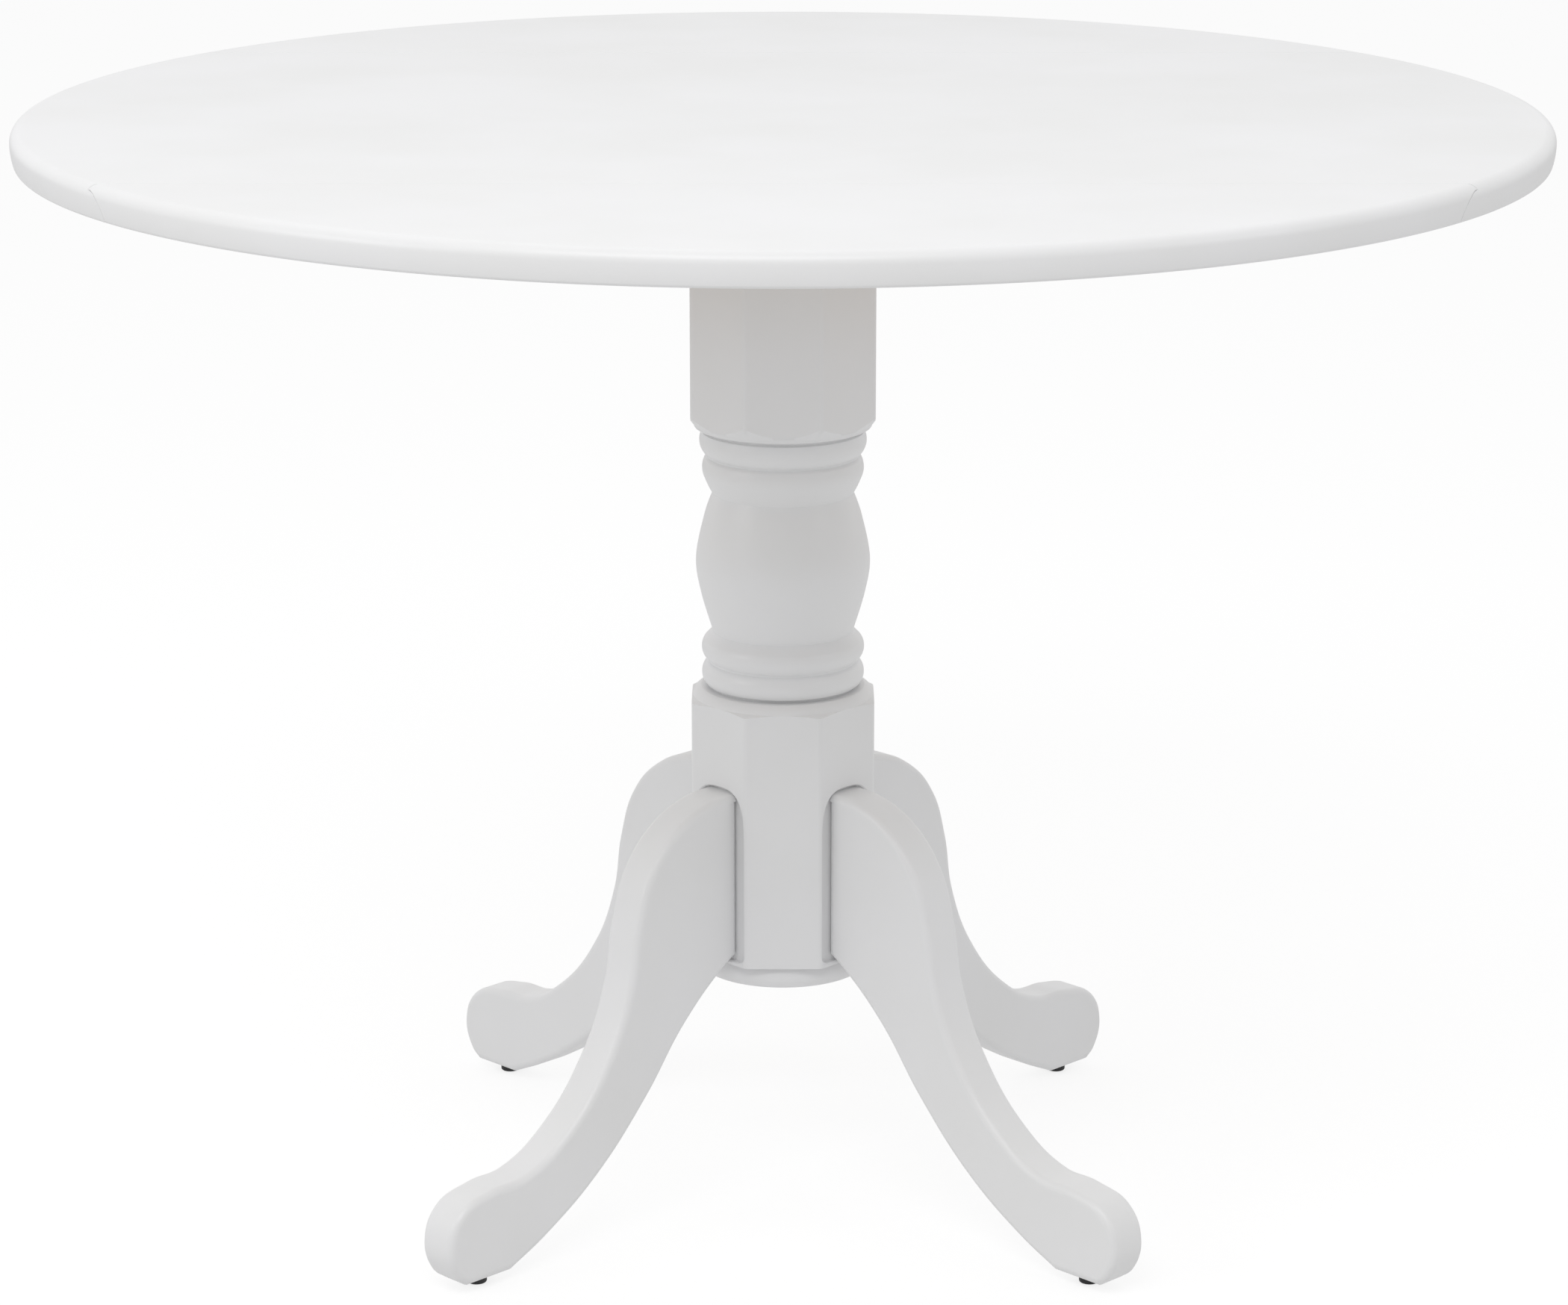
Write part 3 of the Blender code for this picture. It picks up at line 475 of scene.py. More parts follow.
def leg_line():
    """The leg's outline as (distance out from its joint face, height), and whether each is a corner."""
    toe = LEG_REACH
    return [
        ((-LEG_IN_POCKET, LEG_TOP), True),
        ((0.0235, 0.2898), False),
        ((0.0520, 0.2775), False),
        ((0.0765, 0.2525), False),
        ((0.0900, 0.2160), False),
        ((0.0975, 0.1760), False),
        ((0.1185, 0.1300), False),
        ((toe - 0.1025, 0.0865), False),
        ((toe - 0.0680, 0.0690), False),
        ((toe - 0.0385, 0.0668), False),
        ((toe - 0.0110, 0.0580), False),
        ((toe, 0.0360), False),
        ((toe - 0.0065, LEG_SOLE + 0.0070), False),
        ((toe - 0.0150, LEG_SOLE), True),
        ((toe - 0.0530, LEG_SOLE), True),
        ((toe - 0.0860, 0.0218), False),
        ((toe - 0.1335, 0.0525), False),
        ((0.0830, 0.0950), False),
        ((0.0460, 0.1390), False),
        ((0.0090, 0.1700), False),
        ((-LEG_IN_POCKET, LEG_JOINT_BOTTOM), True),
    ]


def settle(obj):
    """Puts an object's place into its mesh, and leaves the object at the origin."""
    pick_only(obj)
    bpy.ops.object.transform_apply(location=True, rotation=True, scale=True)
    return obj


def saw_leg():
    """One leg in the XZ plane, pointing out along +X."""
    select_nothing()
    bpy.ops.curve.primitive_bezier_curve_add()
    leg = bpy.context.object
    curve = leg.data
    curve.dimensions = "2D"
    curve.fill_mode = "BOTH"
    curve.resolution_u = 14
    curve.extrude = LEG_THICKNESS / 2 - LEG_EDGE_ROUND
    curve.bevel_depth = LEG_EDGE_ROUND
    curve.bevel_resolution = 3
    curve.offset = -LEG_EDGE_ROUND
    curve.splines.clear()
    line = curve.splines.new("BEZIER")
    points = leg_line()
    line.bezier_points.add(len(points) - 1)
    for place, ((out, up), corner_point) in zip(line.bezier_points, points):
        place.co = (out + LEG_FACE, up, 0)
        kind = "VECTOR" if corner_point else "AUTO"
        place.handle_left_type = place.handle_right_type = kind
    line.use_cyclic_u = True
    leg.matrix_world = Matrix.Rotation(math.pi / 2, 4, "X")
    bpy.ops.object.convert(target="MESH")
    bpy.ops.object.mode_set(mode="EDIT")
    close_mesh()
    return settle(leg)


def copy_piece(piece, name, place):
    """A copy with its own mesh, moved to a place."""
    made = piece.copy()
    made.data = piece.data.copy()
    made.name = made.data.name = name
    bpy.context.scene.collection.objects.link(made)
    made.data.transform(place)
    return made


leg_pattern = smooth(saw_leg())
for corner_name, degrees in LEG_TURNS.items():
    turned = upright_turn(degrees)
    leg = copy_piece(leg_pattern, f"lacquered_leg_{corner_name}", turned)
    slope = (0, math.radians(LEG_GRAIN_SLOPE), 0)
    leg_lacquer = white_lacquer(f"white_satin_lacquer_{corner_name}", slope)
    finish_piece(leg, leg_lacquer, "white_paint", BASE, f"leg_{corner_name}")
bpy.data.objects.remove(leg_pattern)


# The leg bolts: M8 hanger bolts of zinc-plated steel, screwed into the leg's wood at one end and drawn up
# with a nut and washer inside the hollow column at the other. Two hold each leg.

# Zinc plating over cold-formed steel: bright and faintly blue, with cloudy patches where the passivation
# is thicker and short fine scratches from the tumbling barrel.
ZINC_BRIGHT = "D3D6DA"
ZINC_CLOUDY = "BCC0C6"
ZINC_CLOUD_MM = 6.0
BARREL_SCRATCH_MM = 0.7


def zinc_plating():
    material, tree, shader, place = new_material("zinc_plated_steel", Metallic=1.0)
    clouds = add_node(
        tree,
        "TexNoise",
        {"Vector": place},
        Scale=per_metre(ZINC_CLOUD_MM),
        Detail=4.0,
        Distortion=0.4,
    )
    tone = add_node(
        tree,
        "ValToRGB",
        {"Fac": clouds.outputs["Fac"]},
        stops=((0.3, ZINC_BRIGHT), (0.7, ZINC_CLOUDY)),
    )
    sheen = add_node(
        tree,
        "MapRange",
        {"Value": clouds.outputs["Fac"]},
        From_Min=0.3,
        From_Max=0.7,
        To_Min=0.27,
        To_Max=0.46,
    )
    scratches = add_node(
        tree,
        "TexNoise",
        {"Vector": place},
        Scale=per_metre(BARREL_SCRATCH_MM),
        Detail=3.0,
        Distortion=1.5,
    )
    skin = add_node(
        tree, "Bump", {"Height": scratches.outputs["Fac"]}, Strength=0.25, Distance=0.00004
    )
    link(
        tree,
        shader,
        {
            "Base Color": tone.outputs["Color"],
            "Roughness": sheen.outputs["Result"],
            "Normal": skin.outputs["Normal"],
        },
    )
    return material


zinc = zinc_plating()
for corner_name in LEG_TURNS:
    for level in ("upper", "lower"):
        bolt = table_nodes[f"leg_bolt_{corner_name}_{level}"]
        bolt.material_slots[0].material = zinc


# The glides: a black nylon disc moulded round a steel nail and hammered up into the sole of each foot. Its
# rim is rounded, so it slides, and a dimple marks the nail's head.

GLIDE_RADIUS = 0.0068
GLIDE_HEIGHT = 0.006
GLIDE_CIRCLE = 0.2875
GLIDE_NAIL_RADIUS = 0.0012
GLIDE_NAIL_TIP = 0.018
GLIDE_NAIL_POINT = 0.002
GLIDE_RIM_ROUND = 0.0013
GLIDE_TOP_ROUND = 0.0005
GLIDE_DIMPLE_RADIUS = 0.0022
GLIDE_DIMPLE_DEPTH = 0.0006
GLIDE_DIMPLE_SAG = 0.00012
GLIDE_STEPS = 64

# Moulded nylon 66: black with a fine spark-eroded texture from the mould, worn a little shiny in patches.
NYLON_BLACK = "18181A"
NYLON_SCUFFED = "2A2A2C"
MOULD_TEXTURE_MM = 0.35
SCUFF_MM = 5


def moulded_nylon():
    material, tree, shader, place = new_material("moulded_black_nylon", IOR=1.53)
    scuffs = add_node(tree, "TexNoise", {"Vector": place}, Scale=per_metre(SCUFF_MM), Detail=4.0)
    tone = add_node(
        tree,
        "ValToRGB",
        {"Fac": scuffs.outputs["Fac"]},
        stops=((0.4, NYLON_BLACK), (0.75, NYLON_SCUFFED)),
    )
    sheen = add_node(tree, "MapRange", {"Value": scuffs.outputs["Fac"]}, To_Min=0.58, To_Max=0.42)
    texture = add_node(
        tree, "TexNoise", {"Vector": place}, Scale=per_metre(MOULD_TEXTURE_MM), Detail=2.0
    )
    skin = add_node(
        tree, "Bump", {"Height": texture.outputs["Fac"]}, Strength=0.4, Distance=0.00003
    )
    link(
        tree,
        shader,
        {
            "Base Color": tone.outputs["Color"],
            "Roughness": sheen.outputs["Result"],
            "Normal": skin.outputs["Normal"],
        },
    )
    return material


top_round, rim_round = GLIDE_TOP_ROUND, GLIDE_RIM_ROUND
dimple_edge = (GLIDE_DIMPLE_RADIUS, 0)
glide_outline = [
    (0, GLIDE_NAIL_TIP),
    (GLIDE_NAIL_RADIUS, GLIDE_NAIL_TIP - GLIDE_NAIL_POINT),
    (GLIDE_NAIL_RADIUS, GLIDE_HEIGHT),
    *arc((GLIDE_RADIUS - top_round, GLIDE_HEIGHT - top_round), top_round, 90, 0, 4),
    *arc((GLIDE_RADIUS - rim_round, rim_round), rim_round, 0, -90, 8),
    dimple_edge,
    *bulge(dimple_edge, (0, GLIDE_DIMPLE_DEPTH), -GLIDE_DIMPLE_SAG, 6),
]
glide_pattern = smooth(turn_on_lathe("nylon_glide", glide_outline, GLIDE_STEPS))
nylon = moulded_nylon()
for corner_name, degrees in LEG_TURNS.items():
    place = Matrix.Translation((*polar(GLIDE_CIRCLE, degrees), 0))
    glide = copy_piece(glide_pattern, f"nylon_glide_{corner_name}", place)
    finish_piece(glide, nylon, "glide_plastic", BASE, f"glide_{corner_name}")
bpy.data.objects.remove(glide_pattern)


# The mounting plate: a square board of bare sanded hardwood, its corners rounded and its arrises eased.
# Four long screws hold it down on the column's wall, and eight short ones go up through it into the top.

UNDERSIDE = 0.727
TOUCHING_GAP = 0.0003
PLATE_HALF_SIDE = 0.130
UNDERFRAME_THICKNESS = 0.022
PLATE_CORNER = 0.012
EASED_ARRIS = 0.0012
SCREWS_FROM_EDGE = 0.022
COLUMN_SCREW_CIRCLE = 0.0481
COLUMN_SCREW_HEAD = 0.0053
COLUMN_SCREW_SINK = 0.0043
COLUMN_SCREW_HOLE = 0.0028
WOOD_SCREW_HEAD = 0.0044
WOOD_SCREW_SINK = 0.0046
WOOD_SCREW_HOLE = 0.0024
WOOD_SCREW_LENGTH = 0.030
SHANK_TO_HEAD = 0.46
POINT_TO_SHANK = 2.5
RECESS_TO_HEAD = (0.52, 0.14, 0.42)
RECESS_TAPER = (0.35, 0.7, 1)
HEAD_RIM = 0.0002
SCREW_STOP_TURN = 137.5
BIT_OVERLAP = 0.001
BIT_LENGTH = 0.1
SCREW_STEPS = 32
DRILL_STEPS = 24

# Bare sanded beech: pale honey brown with slightly darker rings, short dark flecks along the grain, and a
# dry even surface.
BEECH_PALE = "DABD95"
BEECH_DARK = "CAA87B"
BEECH_FLECK = "8F6439"
RING_MM = 4.5
FLECK_MM = 1.1
FLECK_LENGTH_RATIO = 9
RING_LENGTH_SHARE = 0.12
PITH_BELOW = 0.085
WAVE_RADIANS = 20


def bare_beech(name, grain_turn=(0, 0, 0)):
    """The grain runs along X until it's turned."""
    material, tree, shader, place = new_material(name, IOR=1.5)
    along = add_node(tree, "Mapping", {"Vector": place}, Rotation=grain_turn).outputs["Vector"]
    board = add_node(
        tree,
        "Mapping",
        {"Vector": along},
        Location=(0, 0, PITH_BELOW),
        Scale=(RING_LENGTH_SHARE, 1, 1),
    )
    rings = add_node(
        tree,
        "TexWave",
        {"Vector": board.outputs["Vector"]},
        wave_type="RINGS",
        rings_direction="X",
        Scale=per_metre(RING_MM) * math.tau / WAVE_RADIANS,
        Distortion=2.2,
        Detail=3.0,
        Detail_Scale=0.5,
    )
    wood = add_node(
        tree,
        "ValToRGB",
        {"Fac": rings.outputs["Fac"]},
        stops=((0.15, BEECH_PALE), (0.95, BEECH_DARK)),
    )
    stretched = add_node(tree, "Mapping", {"Vector": along}, Scale=(1 / FLECK_LENGTH_RATIO, 1, 1))
    flecks = add_node(
        tree,
        "TexNoise",
        {"Vector": stretched.outputs["Vector"]},
        Scale=per_metre(FLECK_MM),
        Detail=3.0,
    )
    fleck_mask = add_node(
        tree,
        "MapRange",
        {"Value": flecks.outputs["Fac"]},
        From_Min=0.58,
        From_Max=0.72,
        To_Max=0.55,
    )
    tone = add_node(
        tree,
        "Mix",
        {"Factor": fleck_mask.outputs["Result"], 6: wood.outputs["Color"]},
        data_type="RGBA",
    )
    tone.inputs[7].default_value = linear(BEECH_FLECK)
    dryness = add_node(tree, "MapRange", {"Value": rings.outputs["Fac"]}, To_Min=0.68, To_Max=0.56)
    pores = add_node(
        tree,
        "Bump",
        {"Height": flecks.outputs["Fac"]},
        invert=True,
        Strength=0.35,
        Distance=0.00015,
    )
    link(
        tree,
        shader,
        {
            "Base Color": tone.outputs[2],
            "Roughness": dryness.outputs["Result"],
            "Normal": pores.outputs["Normal"],
        },
    )
    return material


def rounded_rectangle(low, high, radii, steps=8):
    """Its corners anticlockwise from the low one, each rounded to its own radius."""
    corners = [low, (high[0], low[1]), high, (low[0], high[1])]
    inward = [(1, 1), (-1, 1), (-1, -1), (1, -1)]
    outline = []
    for i, (place, way, radius) in enumerate(zip(corners, inward, radii)):
        centre = (place[0] + way[0] * radius, place[1] + way[1] * radius)
        start = 180 + 90 * i
        rounded = arc(centre, radius, start, start + 90, steps)
        outline += rounded if radius else [place]
    return outline


def ease_arrises(obj, width, segments=2, past=50):
    """Every edge sharper than this many degrees gets a small round."""
    return apply_modifier(
        obj,
        "BEVEL",
        width=width,
        segments=segments,
        limit_method="ANGLE",
        angle_limit=math.radians(past),
    )


def driver_recess(half_length, half_width, depth):
    """A tapered slot, mouth down at Z 0. Cut twice at right angles it makes a cross recess."""
    select_nothing()
    bpy.ops.mesh.primitive_cube_add(size=2, scale=(half_length, half_width, depth))
    slot = bpy.context.object
    select_upward_faces(slot)
    bpy.ops.transform.resize(value=RECESS_TAPER, center_override=(0, 0, depth))
    bpy.ops.object.mode_set(mode="OBJECT")
    return slot


def make_screw(name, head_radius, head_outline, length, face):
    """A screw, head down, with a cross recess. Its head's outline runs from the face up to the shank."""
    shank = head_radius * SHANK_TO_HEAD
    outline = [(0, face), *head_outline, (shank, length - POINT_TO_SHANK * shank), (0, length)]
    screw = turn_on_lathe(name, outline, SCREW_STEPS)
    recess = driver_recess(*(head_radius * share for share in RECESS_TO_HEAD))
    recess.location.z = face
    bpy.context.view_layer.update()
    cut(screw, recess, (Matrix(), Matrix.Rotation(math.pi / 2, 4, "Z")))
    return smooth(screw, 30)


def countersunk_screw(name, head_radius, length):
    """Its face is flush at Z 0, and its head has a narrow straight rim."""
    shank = head_radius * SHANK_TO_HEAD
    rim = HEAD_RIM
    head = [(head_radius - rim, 0), (head_radius, rim), (shank, head_radius - shank + rim)]
    return make_screw(name, head_radius, head, length, 0)


def drive_screws(name, screw, places, body):
    """Copies of a screw at these places, as one piece, each turned as it happened to stop."""
    driven = []
    for i, place in enumerate(places):
        stopped = upright_turn(SCREW_STOP_TURN * i)
        driven.append(copy_piece(screw, f"{name}_{i}", Matrix.Translation(place) @ stopped))
    select_nothing()
    for one in driven:
        one.select_set(True)
    bpy.context.view_layer.objects.active = driven[0]
    bpy.ops.object.join()
    driven[0].name = driven[0].data.name = name
    finish_piece(driven[0], zinc, "zinc_steel", body)


def drill_for_screws(obj, places):
    """Countersunk holes for the wood screws, up through a board from below."""
    sink, hole = WOOD_SCREW_SINK, WOOD_SCREW_HOLE
    outline = [
        (0, -BIT_OVERLAP),
        (sink, -BIT_OVERLAP),
        (sink, 0),
        (hole, sink - hole),
        (hole, BIT_LENGTH),
        (0, BIT_LENGTH),
    ]
    bit = turn_on_lathe("drill_bit", outline, DRILL_STEPS)
    cut(obj, bit, [Matrix.Translation(place) for place in places])


board_top = UNDERSIDE - TOUCHING_GAP
board_bottom = board_top - UNDERFRAME_THICKNESS
side = PLATE_HALF_SIDE
mounting_plate = saw_out(
    "beech_mounting_plate",
    rounded_rectangle((-side, -side), (side, side), [PLATE_CORNER] * 4),
    UNDERFRAME_THICKNESS,
)
mounting_plate.location.z = board_bottom
ease_arrises(settle(mounting_plate), EASED_ARRIS)
column_screw_spots = [
    upright_turn(degrees) @ Vector((COLUMN_SCREW_CIRCLE, 0, 0)) for degrees in range(0, 360, 90)
]
column_screw_hole = turn_on_lathe(
    "column_screw_hole",
    [
        (0, board_top + BEYOND),
        (COLUMN_SCREW_HEAD, board_top + BEYOND),
        (COLUMN_SCREW_HEAD, board_top),
        (COLUMN_SCREW_HOLE, board_top - COLUMN_SCREW_SINK),
        (COLUMN_SCREW_HOLE, board_bottom - BEYOND),
        (0, board_bottom - BEYOND),
    ],
    DRILL_STEPS,
)
cut(mounting_plate, column_screw_hole, [Matrix.Translation(spot) for spot in column_screw_spots])
near = side - SCREWS_FROM_EDGE
top_screw_spots = [
    (x, y, board_bottom) for x in (-near, 0, near) for y in (-near, 0, near) if (x, y) != (0, 0)
]
drill_for_screws(mounting_plate, top_screw_spots)
smooth(mounting_plate, 30)
beech_across = bare_beech("bare_sanded_beech_across")
finish_piece(mounting_plate, beech_across, "bare_wood", BASE, "mounting_plate")
wood_screw = countersunk_screw("wood_screw", WOOD_SCREW_HEAD, WOOD_SCREW_LENGTH)
drive_screws("mounting_plate_screws", wood_screw, top_screw_spots, BASE)
for way in ("left", "right", "front", "back"):
    table_nodes[f"column_screw_{way}"].material_slots[0].material = zinc


# The cleats: a batten of the same beech each side of the mounting plate, across the centre panel's boards
# to keep them flat. Three countersunk screws hold each one.

CLEAT_INNER = 0.140
CLEAT_WIDTH = 0.035
CLEAT_HALF_LENGTH = 0.150
CLEAT_SCREWS_FROM_END = 0.025
CLEAT_CORNER = 0.002
HANDS = {"left": -1, "right": 1}

beech_lengthwise = bare_beech("bare_sanded_beech_lengthwise", (0, 0, math.pi / 2))
screw_reach = CLEAT_HALF_LENGTH - CLEAT_SCREWS_FROM_END
for hand, way in HANDS.items():
    middle = way * (CLEAT_INNER + CLEAT_WIDTH / 2)
    half = CLEAT_WIDTH / 2
    low, high = (middle - half, -CLEAT_HALF_LENGTH), (middle + half, CLEAT_HALF_LENGTH)
    batten = rounded_rectangle(low, high, [CLEAT_CORNER] * 4, 4)
    cleat = saw_out(f"beech_cleat_{hand}", batten, UNDERFRAME_THICKNESS)
    cleat.location.z = board_bottom
    ease_arrises(settle(cleat), EASED_ARRIS)
    spots = [(middle, y, board_bottom) for y in (-screw_reach, 0, screw_reach)]
    drill_for_screws(cleat, spots)
    smooth(cleat, 30)
    finish_piece(cleat, beech_lengthwise, "bare_wood", BASE, f"cleat_{hand}")
    drive_screws(f"cleat_screws_{hand}", wood_screw, spots, BASE)
bpy.data.objects.remove(wood_screw)


# The top: one round of edge-glued hardwood boards, 22 mm thick, cut into a centre panel and two drop
# leaves. The panel's long edges are a quarter-round and the leaves' a cove, and together they make the
# rule joint that turns about the hinge pins. The rim is rounded over on top and all of it is lacquered.

TOP_RADIUS = 0.508
TABLE_HEIGHT = 0.749
RIM_UPPER_ROUND = 0.008
RIM_LOWER_ROUND = 0.003
RIM_BELLY = 0.0016
RIM_BELLY_SAG = 0.0004
RIM_BELLY_TURN = 16
TOP_STEPS = 256
FLAT_TO_RIM = 0.05
HINGE_Y = 0.28
PIN_ABOVE_UNDERSIDE = 0.002
RULE_RADIUS = 0.016
RULE_CLEARANCE = 0.0005
SEAM_ARRIS = 0.0003
HINGE_X = 0.31899
MORTISE = Vector((0.0198, 0.0044, 0.0044))
LEAF_SIDES = {"front": -1, "back": 1}

pin_z = UNDERSIDE + PIN_ABOVE_UNDERSIDE
surface = TABLE_HEIGHT - pin_z


def round_top(name):
    upper, lower = RIM_UPPER_ROUND, RIM_LOWER_ROUND
    shoulder = arc((TOP_RADIUS - upper, TABLE_HEIGHT - upper), upper, 90, 0, 12)
    inset = RIM_BELLY + lower * math.cos(math.radians(RIM_BELLY_TURN))
    foot = arc((TOP_RADIUS - inset, UNDERSIDE + lower), lower, -RIM_BELLY_TURN, -90, 6)
    outline = [
        (0, TABLE_HEIGHT),
        (TOP_RADIUS - FLAT_TO_RIM, TABLE_HEIGHT),
        *shoulder,
        *bulge(shoulder[-1], foot[0], RIM_BELLY_SAG, 6),
        *foot[1:],
        (TOP_RADIUS - FLAT_TO_RIM, UNDERSIDE),
        (0, UNDERSIDE),
    ]
    return turn_on_lathe(name, outline, TOP_STEPS)


def rule_curve(radius, start):
    """The rule joint's curve about the pin, as (outwards, up), down to the underside."""
    end = -math.degrees(math.asin(PIN_ABOVE_UNDERSIDE / radius))
    return arc((0, 0), radius, start, end, 28)


def keep_section(obj, section):
    """Keeps the part of a piece inside a section, drawn as (back, up) and carried all along X."""
    length = 2 * (TOP_RADIUS + BEYOND)
    keeper = saw_out("section", section, length)
    keeper.matrix_world = Matrix(((0, 0, 1, -length / 2), (1, 0, 0, 0), (0, 1, 0, 0), (0, 0, 0, 1)))
    return cut(obj, keeper, operation="INTERSECT")


above = surface + BEYOND
slope = BEYOND + SEAM_ARRIS
quarter_round = rule_curve(RULE_RADIUS, 90)
panel_side = [
    Vector((-slope, above)),
    Vector((0, surface - SEAM_ARRIS)),
    *quarter_round,
    quarter_round[-1] - Vector((0, BEYOND)),
]
panel_side = [Vector((HINGE_Y + p.x, pin_z + p.y)) for p in panel_side]
other_side = [Vector((-p.x, p.y)) for p in reversed(panel_side)]
panel = keep_section(round_top("lacquered_centre_panel"), panel_side + other_side)
select_nothing()
bpy.ops.mesh.primitive_cube_add(size=2, scale=MORTISE + Vector((0, 0, BEYOND / 2)))
mortise_cutter = bpy.context.object
mortise_spots = [
    Matrix.Translation((x, y, pin_z - BEYOND / 2))
    for x in (-HINGE_X, HINGE_X)
    for y in (-HINGE_Y, HINGE_Y)
]
cut(panel, mortise_cutter, mortise_spots)
smooth(panel, 30)
board_lacquer = white_lacquer("white_satin_lacquer_boards")
finish_piece(panel, board_lacquer, "white_paint", BASE, "centre_panel")

cove_radius = RULE_RADIUS + RULE_CLEARANCE
cove = rule_curve(cove_radius, math.degrees(math.acos(RULE_CLEARANCE / cove_radius)))
outside = TOP_RADIUS - HINGE_Y + BEYOND
below = cove[-1].y - BEYOND
leaf_section = [
    Vector((cove[0].x + slope, above)),
    Vector((cove[0].x, surface - SEAM_ARRIS)),
    *cove,
    Vector((cove[-1].x, below)),
    Vector((outside, below)),
    Vector((outside, above)),
]
for end, way in LEAF_SIDES.items():
    section = [Vector((way * (HINGE_Y + p.x), pin_z + p.y)) for p in leaf_section]
    leaf = keep_section(round_top(f"lacquered_{end}_leaf"), section)
    leaf_name = f"{end}_leaf"
    finish_piece(smooth(leaf, 30), board_lacquer, "white_paint", leaf_name, leaf_name)


# The drop-leaf hinges: pressed from 1.6 mm zinc-plated steel, two knuckles on the panel's plate and one on
# the leaf's, about a pin let into a mortise. Two countersunk screws hold each plate on the panel, and three
# each plate on a leaf.

HINGE_HALF_WIDTH = 0.019
HINGE_THICKNESS = 0.0016
HINGE_PANEL_LENGTH = 0.034
HINGE_LEAF_LENGTH = 0.058
HINGE_CORNER = 0.004
KNUCKLE_RADIUS = 0.0036
KNUCKLE_START = 0.0044
KNUCKLE_STRIP = 0.002
KNUCKLE_FOOT = 0.0012
LEAF_KNUCKLE_HALF = 0.0077
KNUCKLE_GAP = 0.0003
PIN_HOLE = 0.0021
PIN_BIT_REACH = 0.06
PIN_RADIUS = 0.0018
PIN_PEEN = 0.0005
HINGE_SCREW_HEAD = 0.0038
HINGE_SCREW_HOLE = 0.0022
HINGE_SCREW_LENGTH = 0.016
HINGE_SCREW_GAP = 0.0002
HINGE_SCREW_RIM = 0.0001
HINGE_BIT_LENGTH = 0.004
PRESSED_ARRIS = 0.0002
HIDDEN_STEP = 0.00002

# Drawings of the hinges and stays have the pin at the origin, X outwards to the leaf, Y up and Z along it.
DRAWING_TO_BACK = Matrix(((0, 0, 1, 0), (1, 0, 0, 0), (0, 1, 0, 0), (0, 0, 0, 1)))
metal_top = -PIN_ABOVE_UNDERSIDE - TOUCHING_GAP
hinge_bottom = metal_top - HINGE_THICKNESS


def pressed_board(name, low, high, radii, bottom, thickness):
    """A flat plate with its outline in the drawing's X and Z, and its thickness up from a height."""
    made = saw_out(name, rounded_rectangle(low, high, radii, 5), thickness)
    made.matrix_world = Matrix(((1, 0, 0, 0), (0, 0, 1, bottom), (0, 1, 0, 0), (0, 0, 0, 1)))
    settle(made)
    bpy.ops.object.mode_set(mode="EDIT")
    close_mesh()
    return made


def profile_slice(name, outline, low, high):
    """An outline in the drawing's plane, carried from one place to another along the pin."""
    made = saw_out(name, outline, high - low)
    made.location.z = low
    return settle(made)


def weld_on(obj, *others):
    """Joins parts that overlap by a hidden step, because faces that lie exactly together spoil the join."""
    for other in others:
        cut(obj, other, operation="UNION")


def drill_along(obj, spots, radius):
    """Round holes along the pin's direction, at these (X, Y) places of the drawing."""
    reach = PIN_BIT_REACH
    outline = [(0, -reach), (radius, -reach), (radius, reach), (0, reach)]
    bit = turn_on_lathe("drill_bit", outline, SCREW_STEPS)
    cut(obj, bit, [Matrix.Translation((*spot, 0)) for spot in spots])


def hinge_plate(name, way, length, knuckles, screw_spots):
    """The plate lies towards the leaf where way is 1 and towards the panel where it's -1."""
    first, last = sorted((way * KNUCKLE_START, way * length))
    low, high = (first, -HINGE_HALF_WIDTH), (last, HINGE_HALF_WIDTH)
    near, far = (0, HINGE_CORNER) if way > 0 else (HINGE_CORNER, 0)
    radii = [near, far, far, near]
    plate = pressed_board(name, low, high, radii, hinge_bottom, HINGE_THICKNESS)
    ease_arrises(plate, PRESSED_ARRIS, 1)
    meets = -math.sqrt(KNUCKLE_RADIUS**2 - metal_top**2)
    start = math.degrees(math.atan2(metal_top, meets)) % 360
    strip = -KNUCKLE_START - KNUCKLE_STRIP
    curl = [
        (strip, metal_top - HIDDEN_STEP),
        *arc((0, 0), KNUCKLE_RADIUS, start + 1, -90, 28),
        (-KNUCKLE_FOOT, hinge_bottom + HIDDEN_STEP),
        (strip, hinge_bottom + HIDDEN_STEP),
    ]
    curl = [(-way * x, y) for x, y in curl]
    weld_on(plate, *(profile_slice("knuckle", curl, *ends) for ends in knuckles))
    drill_along(plate, [(0, 0)], PIN_HOLE)
    sink = HINGE_SCREW_HEAD + HINGE_SCREW_GAP
    outline = [
        (0, -BIT_OVERLAP),
        (sink, -BIT_OVERLAP),
        (sink, HINGE_SCREW_RIM),
        (HINGE_SCREW_HOLE, HINGE_THICKNESS),
        (HINGE_SCREW_HOLE, HINGE_BIT_LENGTH),
        (0, HINGE_BIT_LENGTH),
    ]
    bit = turn_on_lathe("countersink", outline, SCREW_STEPS)
    upwards = Matrix.Rotation(-math.pi / 2, 4, "X")
    spots = [Matrix.Translation((x, hinge_bottom, z)) @ upwards for x, z in screw_spots]
    cut(plate, bit, spots)
    return smooth(plate, 30)


def drawing_place(end, x):
    """Where a drawing goes in the table: at the front it's the same piece, turned half round."""
    way = LEAF_SIDES[end]
    turn = Matrix.Rotation(0 if way > 0 else math.pi, 4, "Z")
    return Matrix.Translation((x, way * HINGE_Y, pin_z)) @ turn @ DRAWING_TO_BACK


